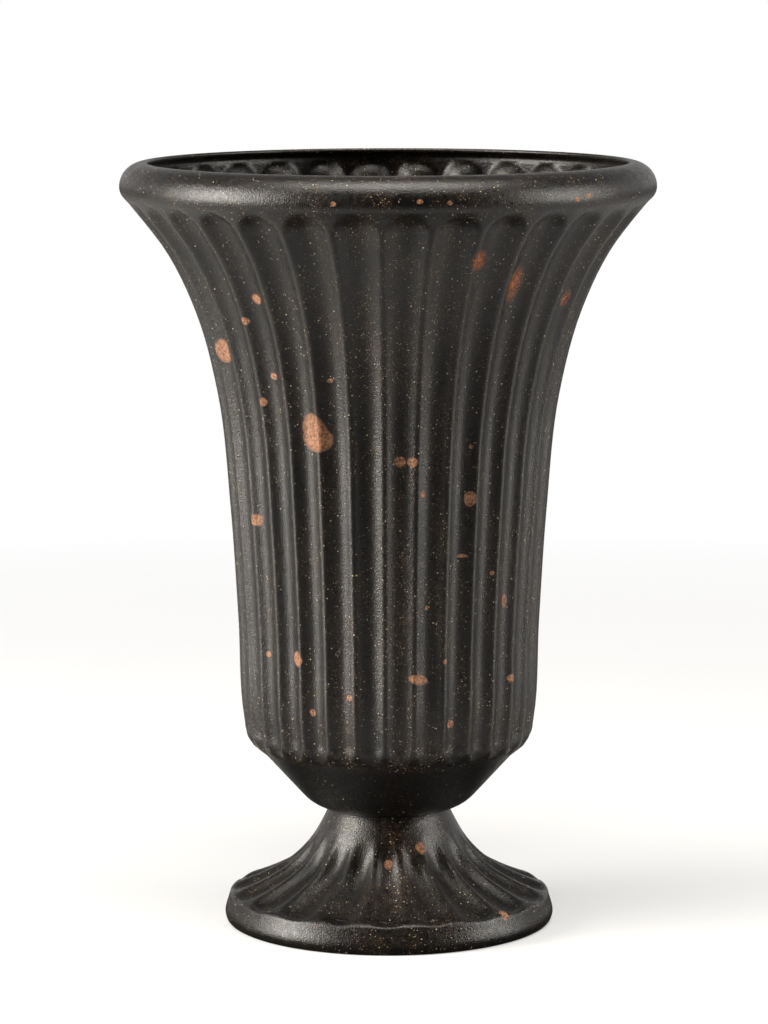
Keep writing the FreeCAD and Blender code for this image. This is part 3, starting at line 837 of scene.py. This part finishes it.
def boundary_at(bm: bmesh.types.BMesh, height: float, reach: float) -> list[bmesh.types.BMEdge]:
    """Open edges of a mesh that lie at a height and within a distance of the axis.

    Args:
        bm: The mesh.
        height: The height they lie at.
        reach: Their largest distance from the axis.

    Returns:
        The edges.
    """
    return [edge for edge in bm.edges if len(edge.link_faces) < 2
            and all(abs(vert.co.z - height) < SEAM and vert.co.xy.length < reach for vert in edge.verts)]


def wall_behind(crest: Sequence[Station], wall: float) -> list[Station]:
    """Stations one wall behind the line of the ridges.

    Args:
        crest: The ridges' stations, which get their normals.
        wall: The wall's thickness.

    Returns:
        The new stations.
    """
    square_up(crest)
    return [Station(place.radius - place.normal.x * wall, place.height - place.normal.y * wall)
            for place in crest]


def turn_inward(stations: Sequence[Station]) -> list[Station]:
    """Mark stations as the inner skin, whose channels stand out of the wall.

    Args:
        stations: The inner skin's stations.

    Returns:
        The same stations.
    """
    for station in stations:
        station.outside = 0.0
        station.depth = -station.depth
    return list(stations)


def close_with_holes(bm: bmesh.types.BMesh, levels: Sequence[tuple[float, float]],
                     holes: Sequence[tuple[float, float, float]]) -> None:
    """Close both ends of a shell with flat discs and line the holes between them.

    Args:
        bm: The shell, open at two level rings.
        levels: Height and radius of each ring.
        holes: Distance from the axis, azimuth and radius of each hole.
    """
    rings = []
    for height, radius in levels:
        rim = boundary_at(bm, height, radius + RIM_SLACK)
        loops = []
        for distance, azimuth, hole in holes:
            turn = math.radians(azimuth)
            place = Matrix.Translation((math.sin(turn) * distance, -math.cos(turn) * distance, height))
            circle = bmesh.ops.create_circle(bm, segments=HOLE_SIDES, radius=hole, matrix=place)
            loops.append(list({edge for vert in circle["verts"] for edge in vert.link_edges}))
        bmesh.ops.triangle_fill(bm, use_beauty=True, edges=rim + [edge for loop in loops for edge in loop])
        for edge in rim:
            edge.smooth = False
        rings.append(loops)
    for low, high in zip(*rings):
        bmesh.ops.bridge_loops(bm, edges=low + high)
        for edge in low + high:
            edge.smooth = False


def finish_piece(bm: bmesh.types.BMesh, name: str, body: str, finish: Finish,
                 replaces: Iterable[str] = ()) -> bpy.types.Object:
    """Turn a bmesh in millimetres into a finished piece that rides on a body.

    Args:
        bm: The mesh, which is freed.
        name: The piece's name.
        body: The body that it moves with.
        finish: Its finish.
        replaces: The solids that it stands for.

    Returns:
        The new object.
    """
    bmesh.ops.recalc_face_normals(bm, faces=bm.faces)
    bmesh.ops.scale(bm, vec=(MM, MM, MM), verts=bm.verts)
    for face in bm.faces:
        face.smooth = True
    mesh = bpy.data.meshes.new(name)
    bm.to_mesh(mesh)
    bm.free()
    mesh.materials.append(finish.material())
    piece = bpy.data.objects.new(name, mesh)
    bpy.context.scene.collection.objects.link(piece)
    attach(piece, body)
    for node in replaces:
        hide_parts(node)
    return piece


@dataclass
class Drainage:
    """Holes through the bowl's floor and the foot's deck, which line up.

    Attributes:
        circle: Radius of the circle of drain holes.
        count: Number of drain holes.
        first: Azimuth of the first one, counted from the front.
        bolt_hole: Radius of the hole for the clamp bolt.
    """

    circle: float = 24.0
    count: int = 3
    first: float = 180.0
    bolt_hole: float = 4.5

    def holes(self, radius: float) -> list[tuple[float, float, float]]:
        """Distance, azimuth and radius of each hole.

        Args:
            radius: Radius of the drain holes in this floor.

        Returns:
            The bolt's hole first, then the drain holes.
        """
        turns = [self.first + 360 * index / self.count for index in range(self.count)]
        return [(0.0, 0.0, self.bolt_hole)] + [(self.circle, turn, radius) for turn in turns]


@dataclass
class Bowl:
    """The fluted trumpet bowl, with its smooth base and rolled lip."""

    drainage: Drainage
    wall: float = 3.0
    floor_low: float = 69.0
    floor_high: float = 73.0
    base_round: float = 27.0
    base_lean: float = 42.2
    crease: Point = (75.0, 103.0)
    corner: Point = (82.4, 109.0)
    turn: Point = (85.9, 114.6)
    hem: Point = (87.2, 122.0)
    wall_knots: tuple[Point, ...] = (
        (90.4, 183.0), (94.7, 251.0), (102.0, 320.0), (115.2, 370.0), (131.2, 404.0))
    lip_root: Point = (153.6, 434.0)
    lip_radius: float = 159.0
    lip_height: float = 443.3
    lip_top_round: float = 14.3
    lip_under_round: float = 9.0
    mouth_radius: float = 143.0
    lip_edge: float = 2.4
    lip_hollow: tuple[Point, ...] = ((148.6, 454.4), (151.2, 451.6))
    inner_top: Point = (150.6, 449.5)
    inner_arch_gap: float = 1.0
    hem_rise: float = 13.0
    arch_rise: float = 10.5
    slim_depth: float = 3.4
    lip_depth: float = 5.6
    drain_hole: float = 5.0

    def fluting(self) -> Fluting:
        """The channels round the wall.

        Returns:
            The channels.
        """
        return Fluting(count=32, turn=-1.5, channel=0.76, columns=16)

    def base_centre(self) -> Point:
        """Centre of the round between the flat bottom and the cone.

        Returns:
            Its radius and height.
        """
        lean = math.radians(self.base_lean)
        cone_foot = self.crease[0] - (self.crease[1] - self.floor_low) * math.tan(lean)
        radius = cone_foot - self.base_round * math.tan((math.pi / 2 - lean) / 2)
        return radius, self.floor_low + self.base_round

    def crest(self) -> list[Station]:
        """The line of the ridges, from the lower corner to the lip's root.

        Returns:
            The stations, close together where the channels end.
        """
        arch_foot = self.lip_root[1] - self.arch_rise
        hem = smooth_stretch([self.corner, self.turn, self.hem], spacing=1.4)
        wall = smooth_stretch([self.turn, self.hem, *self.wall_knots, self.lip_root], spacing=9.0)
        arch = smooth_stretch([*self.wall_knots[-2:], self.lip_root], spacing=1.2)
        return (hem + [station for station in wall if self.hem[1] < station.height < arch_foot - 1]
                + [station for station in arch if station.height > arch_foot])

    def carve(self, stations: Sequence[Station], top: float) -> None:
        """Set how deep and how open the channels are along a skin.

        Args:
            stations: The skin's stations.
            top: Height at which the channels end.
        """
        hem_top = self.corner[1] + self.hem_rise
        for station in stations:
            grown = (station.radius - self.hem[0]) / (self.lip_root[0] - self.hem[0])
            station.depth = self.slim_depth + max(grown, 0) * (self.lip_depth - self.slim_depth)
            below = (hem_top - station.height) / self.hem_rise
            above = (station.height - (top - self.arch_rise)) / self.arch_rise
            station.closing = max(below, above, 0.0)

    def lip(self) -> list[Station]:
        """The outside of the rolled lip, from under it to the mouth.

        Returns:
            The stations.
        """
        top_centre = (self.lip_radius - self.lip_top_round, self.lip_height)
        under_centre = (self.lip_radius - self.lip_under_round, self.lip_height)
        reach = Vector(self.lip_root) - Vector(under_centre)
        start = math.degrees(math.atan2(reach.y, reach.x)) + math.degrees(
            math.acos(self.lip_under_round / reach.length))
        end = math.degrees(math.acos((self.mouth_radius - top_centre[0]) / self.lip_top_round))
        under = round_stretch(under_centre, self.lip_under_round, start, 0, steps=8)
        return under + round_stretch(top_centre, self.lip_top_round, 0, end, steps=16)[1:]

    def outside(self) -> list[Station]:
        """The outer skin, from the edge of the flat bottom to the mouth.

        Returns:
            The stations, each with its normal.
        """
        centre = self.base_centre()
        base = round_stretch(centre, self.base_round, -90, -self.base_lean, steps=8)
        cone_top = (base[-1].radius, base[-1].height)
        base += straight_stretch(cone_top, self.crease, steps=4)[1:]
        base += straight_stretch(self.crease, self.corner, steps=4)[1:-1]
        crest = self.crest()
        self.carve(crest, self.lip_root[1])
        skin = base + crest + self.lip()
        square_up(skin)
        return skin

    def inside(self) -> list[Station]:
        """The inner skin, from the mouth down to the edge of the floor.

        Returns:
            The stations, each with its normal.
        """
        crown = self.lip_height + self.lip_top_round
        edge_low = (self.mouth_radius, crown - self.lip_edge)
        hollow = smooth_stretch([edge_low, *self.lip_hollow, self.inner_top], spacing=1.3)
        behind = wall_behind(self.crest(), self.wall)
        wall_top = (behind[-1].radius, behind[-1].height)
        wall = behind + smooth_stretch([wall_top, self.inner_top], spacing=1.2)[1:-1]
        self.carve(wall, self.inner_top[1] - self.inner_arch_gap)
        wall.reverse()
        centre = self.base_centre()
        lean = math.radians(self.base_lean)
        radius = self.base_round - self.wall
        floor_angle = -math.degrees(math.asin((centre[1] - self.floor_high) / radius))
        base = round_stretch(centre, radius, -self.base_lean, floor_angle, steps=6)
        crease = (self.crease[0] - self.wall * math.cos(lean),
                  self.crease[1] + self.wall * math.sin(lean))
        down = straight_stretch((wall[-1].radius, wall[-1].height), crease, steps=3)[1:]
        down += straight_stretch(crease, (base[0].radius, base[0].height), steps=3)[1:-1]
        skin = hollow + turn_inward(wall + down + base)
        square_up(skin)
        return skin

    def build(self, finish: Finish) -> bpy.types.Object:
        """Build the bowl in place of its solid.

        Args:
            finish: Its finish.

        Returns:
            The bowl.
        """
        outside, inside = self.outside(), self.inside()
        bm = spin_shell(outside + inside, self.fluting())
        levels = [(outside[0].height, outside[0].radius), (inside[-1].height, inside[-1].radius)]
        close_with_holes(bm, levels, self.drainage.holes(self.drain_hole))
        return finish_piece(bm, "bowl_shell", "urn", finish, ["bowl"])


@dataclass
class PedestalFoot:
    """The hollow fluted foot, with its plain band and the deck that the bowl sits on."""

    drainage: Drainage
    wall: float = 3.0
    deck_low: float = 65.0
    neck: Point = (36.0, 69.0)
    flare_knots: tuple[Point, ...] = (
        (40.2, 60.3), (48.4, 47.0), (60.3, 35.1), (75.4, 26.1), (92.0, 18.8))
    shoulder: Point = (97.0, 14.0)
    shoulder_knots: tuple[Point, ...] = ((96.2, 16.5), (94.4, 18.0))
    belly: Point = (98.9, 3.0)
    sole_radius: float = 97.6
    sole_round: Point = (0.9, 0.5)
    flute_depth: float = 3.8
    fade_height: float = 59.0
    fade_fall: float = 24.0
    pocket_rise: float = 10.0
    pocket_reach: float = 2.6
    deck_hole: float = 6.5

    def fluting(self) -> Fluting:
        """The channels down the flare.

        Returns:
            The channels.
        """
        return Fluting(count=20, turn=-10.0, channel=0.66, columns=24)

    def flare(self) -> list[Station]:
        """The line of the ridges, from the ledge up to the neck.

        Returns:
            The stations.
        """
        return smooth_stretch([*reversed(self.flare_knots), self.neck], spacing=1.6)

    def carve(self, stations: Sequence[Station]) -> None:
        """Set how deep and how open the channels are along a skin.

        Args:
            stations: The skin's stations.
        """
        ledge_radius, ledge_height = self.flare_knots[-1]
        for station in stations:
            faded = min(max((self.fade_height - station.height) / self.fade_fall, 0.0), 1.0)
            station.depth = self.flute_depth * faded ** 2 * (3 - 2 * faded)
            run = math.hypot(station.radius - ledge_radius, station.height - ledge_height)
            if station.height < ledge_height:
                run = -run
            station.closing = max(1 - (run + self.pocket_reach) / self.pocket_rise, 0.0)

    def outside(self) -> list[Station]:
        """The outer skin, from the sole up to the deck's rim.

        Returns:
            The stations, each with its normal.
        """
        inset, rise = self.sole_round
        low = smooth_stretch([(self.sole_radius - inset, 0.0), (self.sole_radius, rise), self.belly,
                              self.shoulder], spacing=1.3)
        shoulder = smooth_stretch([self.shoulder, *self.shoulder_knots, self.flare_knots[-1]], spacing=0.8)
        skin = low[:-1] + shoulder[:-1] + self.flare()
        self.carve(skin)
        square_up(skin)
        return skin

    def inside(self) -> list[Station]:
        """The inner skin, from the deck's underside down to the sole.

        Returns:
            The stations, each with its normal.
        """
        crest = self.flare()
        flare = [behind for front, behind in zip(crest, wall_behind(crest, self.wall))
                 if front.height < self.fade_height + 3]
        self.carve(flare)
        flare.reverse()
        top = (self.neck[0] - self.wall, self.deck_low)
        neck = straight_stretch(top, (flare[0].radius, flare[0].height), steps=3)[:-1]
        band = straight_stretch((flare[-1].radius, flare[-1].height),
                                (self.shoulder[0] - self.wall, self.shoulder[1] - self.wall),
                                steps=2)[1:]
        band += straight_stretch((band[-1].radius, band[-1].height),
                                 (self.sole_radius - self.wall, 0), steps=4)[1:]
        skin = turn_inward(neck + flare + band)
        square_up(skin)
        return skin

    def build(self, finish: Finish) -> bpy.types.Object:
        """Build the foot in place of its solid.

        Args:
            finish: Its finish.

        Returns:
            The foot.
        """
        skin = self.inside() + self.outside()
        bm = spin_shell(skin, self.fluting())
        levels = [(skin[0].height, skin[0].radius), (skin[-1].height, skin[-1].radius)]
        close_with_holes(bm, levels, self.drainage.holes(self.deck_hole))
        return finish_piece(bm, "foot_shell", "urn", finish, ["pedestal_foot"])


# ---------------------------------------------------------------------------------------------
# Studio
# ---------------------------------------------------------------------------------------------

@dataclass
class Softbox:
    """A rectangular lamp that faces a target.

    Attributes:
        name: Its name.
        place: Where it stands, in metres.
        target: What it faces, in metres.
        size: Width and height, in metres.
        power: Power in watts.
        tint: Its colour.
    """

    name: str
    place: tuple[float, float, float]
    target: tuple[float, float, float]
    size: tuple[float, float]
    power: float
    tint: str = "fffaf2"

    def build(self) -> bpy.types.Object:
        """Set up the lamp.

        Returns:
            The lamp.
        """
        light = bpy.data.lights.new(self.name, "AREA")
        light.color = linear(self.tint)[:3]
        light.shape = "RECTANGLE"
        light.size, light.size_y = self.size
        light.energy = self.power
        lamp = bpy.data.objects.new(self.name, light)
        way = Vector(self.target) - Vector(self.place)
        facing = way.to_track_quat("-Z", "Y").to_matrix().to_4x4()
        lamp.matrix_world = Matrix.Translation(self.place) @ facing
        bpy.context.scene.collection.objects.link(lamp)
        return lamp


def stage_piece(bm: bmesh.types.BMesh, name: str, material: bpy.types.Material) -> bpy.types.Object:
    """Turn a bmesh in metres into a piece of the studio, which isn't part of the urn.

    Args:
        bm: The mesh, which is freed.
        name: The piece's name.
        material: Its material.

    Returns:
        The new object.
    """
    mesh = bpy.data.meshes.new(name)
    bm.to_mesh(mesh)
    bm.free()
    mesh.materials.append(material)
    piece = bpy.data.objects.new(name, mesh)
    bpy.context.scene.collection.objects.link(piece)
    return piece


def seen_directly(tree: Tree) -> tuple[Socket, Socket]:
    """Tell the camera's own rays from those that a surface mirrors.

    Args:
        tree: A tree of the studio.

    Returns:
        1 for a ray from the camera, also through glass, and 1 for a mirrored ray.
    """
    path = add_node(tree, "ShaderNodeLightPath")
    seen = add_node(tree, "ShaderNodeMath", {"operation": "MAXIMUM"},
                    {0: path.outputs["Is Camera Ray"], 1: path.outputs["Is Transmission Ray"]})
    return seen.outputs[0], path.outputs["Is Glossy Ray"]


@dataclass
class Studio:
    """White floor and surround, softboxes, a dark flag behind the camera, and the camera.

    Lengths are in metres and angles in degrees.

    Attributes:
        camera_place: The camera's place.
        camera_pitch: How far it looks up.
        camera_roll: How far it leans.
        lens: Its focal length, in millimetres.
        sensor: Its sensor's width, in millimetres.
        floor_size: The floor's sides.
        floor_glow: How much the floor is whitened for the camera.
        floor_paint: The floor's colour.
        floor_unlit: Its colour in reflections where the set is unlit.
        floor_fade: Distances between which the floor fades to white.
        floor_front: Y between which its unlit front begins.
        floor_under: Distances from the axis between which its shaded middle ends.
        flag_distance: The flag's distance from the axis.
        flag_span: Angle that it takes up.
        flag_height: Its height.
        flag_cloth: Its colour.
        fill: Strength of the surround's light.
        horizon: Its strength low down in reflections.
        zenith: Its strength high up in them.
        dome: Heights of a direction between which one turns into the other.
        middle: What the lamps face.
    """

    camera_place: tuple[float, float, float] = (-0.0027, -2.440, 0.596)
    camera_pitch: float = -8.118
    camera_roll: float = -0.09
    lens: float = 144.69
    sensor: float = 36.0
    floor_size: float = 90.0
    floor_glow: float = 0.38
    floor_paint: str = "b4b4b4"
    floor_unlit: str = "303030"
    floor_fade: Point = (0.5, 1.6)
    floor_front: Point = (-0.45, -0.7)
    floor_under: Point = (0.28, 0.16)
    flag_distance: float = 1.2
    flag_span: float = 112.0
    flag_height: float = 1.9
    flag_cloth: str = "060606"
    fill: float = 0.35
    horizon: float = 0.7
    zenith: float = 0.1
    dome: Point = (0.1, 0.7)
    middle: tuple[float, float, float] = (0.0, 0.0, 0.26)

    def surround(self) -> None:
        """White to the eye, a dim dome in reflections, and an even fill light for the rest."""
        world = bpy.data.worlds.new("surround")
        tree = empty_tree(world)
        seen, glossy = seen_directly(tree)
        way = add_node(tree, "ShaderNodeTexCoord").outputs["Generated"]
        rise = add_node(tree, "ShaderNodeSeparateXYZ", links={"Vector": way})
        dome = add_node(tree, "ShaderNodeMapRange",
                        {"From Min": self.dome[0], "From Max": self.dome[1],
                         "To Min": self.horizon, "To Max": self.zenith},
                        {"Value": rise.outputs["Z"]})
        mirrored = add_node(tree, "ShaderNodeMapRange", {"To Min": self.fill},
                            {"Value": glossy, "To Max": dome.outputs["Result"]})
        strength = add_node(tree, "ShaderNodeMath", {"operation": "MAXIMUM"},
                            {0: seen, 1: mirrored.outputs["Result"]})
        light = add_node(tree, "ShaderNodeBackground", {"Color": linear(WHITE)},
                         {"Strength": strength.outputs[0]})
        add_node(tree, "ShaderNodeOutputWorld", links={"Surface": light.outputs[0]})
        bpy.context.scene.world = world

    def floor(self) -> None:
        """A plain white floor that keeps the urn's shadow.

        In reflections it is dark under the urn and far in front, a guess at how far the light of
        the real set reached.
        """
        bm = bmesh.new()
        bmesh.ops.create_grid(bm, x_segments=1, y_segments=1, size=self.floor_size / 2)
        white = bpy.data.materials.new("studio_white")
        tree = empty_tree(white)
        seen, glossy = seen_directly(tree)
        place = add_node(tree, "ShaderNodeTexCoord").outputs["Object"]
        away = add_node(tree, "ShaderNodeVectorMath", {"operation": "LENGTH"}, {0: place}).outputs["Value"]
        along = add_node(tree, "ShaderNodeSeparateXYZ", links={"Vector": place}).outputs["Y"]
        far, beyond, under = (
            add_node(tree, "ShaderNodeMapRange", {"From Min": start, "From Max": end},
                     {"Value": value}).outputs["Result"]
            for (start, end), value in ((self.floor_fade, away), (self.floor_front, along),
                                        (self.floor_under, away)))
        unlit = add_node(tree, "ShaderNodeMath", {"operation": "MAXIMUM"}, {0: beyond, 1: under})
        dimmed = add_node(tree, "ShaderNodeMath", {"operation": "MULTIPLY"}, {0: unlit.outputs[0], 1: glossy})
        tone = add_node(tree, "ShaderNodeMix",
                        {"data_type": "RGBA", 6: linear(self.floor_paint), 7: linear(self.floor_unlit)},
                        {0: dimmed.outputs[0]})
        paint = add_node(tree, "ShaderNodeBsdfDiffuse", links={"Color": tone.outputs[2]})
        glow = add_node(tree, "ShaderNodeEmission",
                        {"Color": linear(WHITE), "Strength": self.floor_glow})
        near = add_node(tree, "ShaderNodeAddShader", links={0: paint.outputs[0], 1: glow.outputs[0]})
        sweep = add_node(tree, "ShaderNodeEmission", {"Color": linear(WHITE), "Strength": 1.0})
        view = add_node(tree, "ShaderNodeMixShader",
                        links={0: far, 1: near.outputs[0], 2: sweep.outputs[0]})
        shown = add_node(tree, "ShaderNodeMixShader",
                         links={0: seen, 1: paint.outputs[0], 2: view.outputs[0]})
        add_node(tree, "ShaderNodeOutputMaterial", links={"Surface": shown.outputs[0]})
        stage_piece(bm, "studio_floor", white)

    def flag(self) -> None:
        """A dark curved screen behind the camera, which the camera itself doesn't see."""
        bm = bmesh.new()
        low = bm.verts.new((0, -self.flag_distance, 0))
        high = bm.verts.new((0, -self.flag_distance, self.flag_height))
        edge = bm.edges.new((low, high))
        half = math.radians(self.flag_span / 2)
        bmesh.ops.rotate(bm, cent=(0, 0, 0), matrix=Matrix.Rotation(-half, 3, "Z"), verts=[low, high])
        bmesh.ops.spin(bm, geom=[low, high, edge], cent=(0, 0, 0), axis=(0, 0, 1), angle=2 * half,
                       steps=24)
        black = bpy.data.materials.new("studio_black")
        tree = empty_tree(black)
        cloth = add_node(tree, "ShaderNodeBsdfDiffuse", {"Color": linear(self.flag_cloth)})
        add_node(tree, "ShaderNodeOutputMaterial", links={"Surface": cloth.outputs[0]})
        flag = stage_piece(bm, "studio_flag", black)
        flag.visible_camera = False
        flag.visible_shadow = False

    def lamps(self) -> None:
        """The softboxes: a strong one on the left, a weaker one on the right, one overhead."""
        Softbox("key_softbox", (-1.7, -0.5, 0.68), self.middle, (0.95, 1.4), 72.0).build()
        Softbox("side_softbox", (1.7, -0.35, 0.6), self.middle, (0.7, 1.4), 26.0).build()
        Softbox("top_softbox", (0.0, -0.5, 2.0), self.middle, (1.6, 0.9), 42.0).build()

    def camera(self) -> None:
        """The camera, at the photograph's angle."""
        data = bpy.data.cameras.new("photo_camera")
        data.lens = self.lens
        data.sensor_width = self.sensor
        camera = bpy.data.objects.new("photo_camera", data)
        camera.matrix_world = (
            Matrix.Translation(self.camera_place)
            @ Matrix.Rotation(math.radians(90 + self.camera_pitch), 4, "X")
            @ Matrix.Rotation(math.radians(self.camera_roll), 4, "Z"))
        bpy.context.scene.collection.objects.link(camera)
        bpy.context.scene.camera = camera

    def build(self) -> None:
        """Set up everything round the urn."""
        self.surround()
        self.floor()
        self.flag()
        self.lamps()
        self.camera()
        bpy.context.scene.view_settings.view_transform = "Standard"


# azimuth, height, radius of the skin, width, height and lean of each patch of dusty rust that
# the front shows below the lip
BLOOMS = (
    Splash(22.9, 408.2, 131.5, 12.8, 12.7),
    Splash(36.3, 393.1, 120.7, 12.3, 21.9),
    Splash(62.5, 381.1, 115.8, 6.7, 9.7),
)

# the same of each drop of copper paint that the front shows
SPLASHES = (
    Splash(-25.9, 307.5, 98.8, 16.5, 21.5, -16),
    Splash(-25.2, 303.0, 98.4, 19.5, 15.5, 0),
    Splash(-65.3, 349.5, 105.1, 13.5, 14.4, 8),
    Splash(-56.2, 250.8, 93.6, 9.5, 7.2),
    Splash(4.0, 290.4, 94.1, 6.9, 6.5),
    Splash(8.2, 290.3, 96.7, 6.1, 5.9),
    Splash(30.0, 267.1, 94.1, 7.0, 9.4, 5),
    Splash(-37.1, 171.3, 88.6, 8.5, 9.7),
    Splash(11.4, 161.7, 88.6, 12.4, 5.9, 14),
    Splash(28.2, 233.4, 90.1, 6.6, 2.2),
    Splash(-45.8, 370.5, 115.1, 5.6, 4.5),
    Splash(-40.4, 384.0, 116.1, 7.0, 6.0),
    Splash(-40.4, 338.4, 101.8, 5.4, 4.5),
    Splash(-45.5, 322.6, 101.9, 4.5, 5.4),
    Splash(-19.2, 337.5, 101.7, 4.1, 3.0),
    Splash(-15.2, 150.7, 87.5, 4.2, 3.6),
    Splash(-31.1, 139.8, 86.0, 3.7, 4.2),
    Splash(-54.2, 170.8, 87.1, 3.6, 3.6),
    Splash(12.1, 271.5, 94.2, 3.4, 4.1),
    Splash(24.6, 134.0, 85.8, 4.8, 5.0),
    Splash(54.2, 156.5, 89.5, 6.0, 4.2),
    Splash(50.1, 203.2, 88.1, 3.2, 8.5),
    Splash(21.3, 171.8, 89.9, 2.9, 3.0),
    Splash(14.6, 203.9, 88.1, 2.6, 3.0),
    Splash(41.5, 221.6, 91.0, 2.4, 3.0),
    Splash(29.6, 297.7, 96.3, 2.3, 3.0),
    Splash(-11.1, 442.8, 159.0, 3.4, 2.8),
    Splash(6.3, 444.0, 159.0, 3.3, 2.8),
    Splash(12.4, 443.2, 159.0, 3.4, 2.8),
    Splash(42.3, 442.8, 159.0, 4.8, 3.4),
    Splash(45.6, 444.1, 159.0, 4.2, 2.8),
    Splash(-0.8, 43.2, 46.6, 5.0, 5.6),
    Splash(24.9, 51.6, 45.2, 6.4, 6.8),
    Splash(45.4, 16.5, 96.1, 5.6, 5.4),
)


def main() -> None:
    """Build the urn and its studio, and report each piece."""
    logging.basicConfig(level=logging.INFO, format="%(message)s")
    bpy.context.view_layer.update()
    resin = SprayedResin("sprayed_resin", SPLASHES, BLOOMS)
    rubber = MouldedRubber()
    finishes = {Slot.ZINC: ZincPlate(), Slot.SEAL: rubber, Slot.PLUG: rubber}
    drainage = Drainage()
    for piece in (Bowl(drainage).build(resin), PedestalFoot(drainage).build(resin)):
        LOG.info("%s: %d faces", piece.name, len(piece.data.polygons))
    for part in frame["record"]["subparts"]:
        slot = Slot(part["material_slot"])
        if slot in finishes:
            node = frame["nodes"][part["node"]]
            node.data.materials.clear()
            node.data.materials.append(finishes[slot].material())
            LOG.info("%s: %s", part["node"], finishes[slot].name)
    Studio().build()


if __name__ == "__main__":
    main()
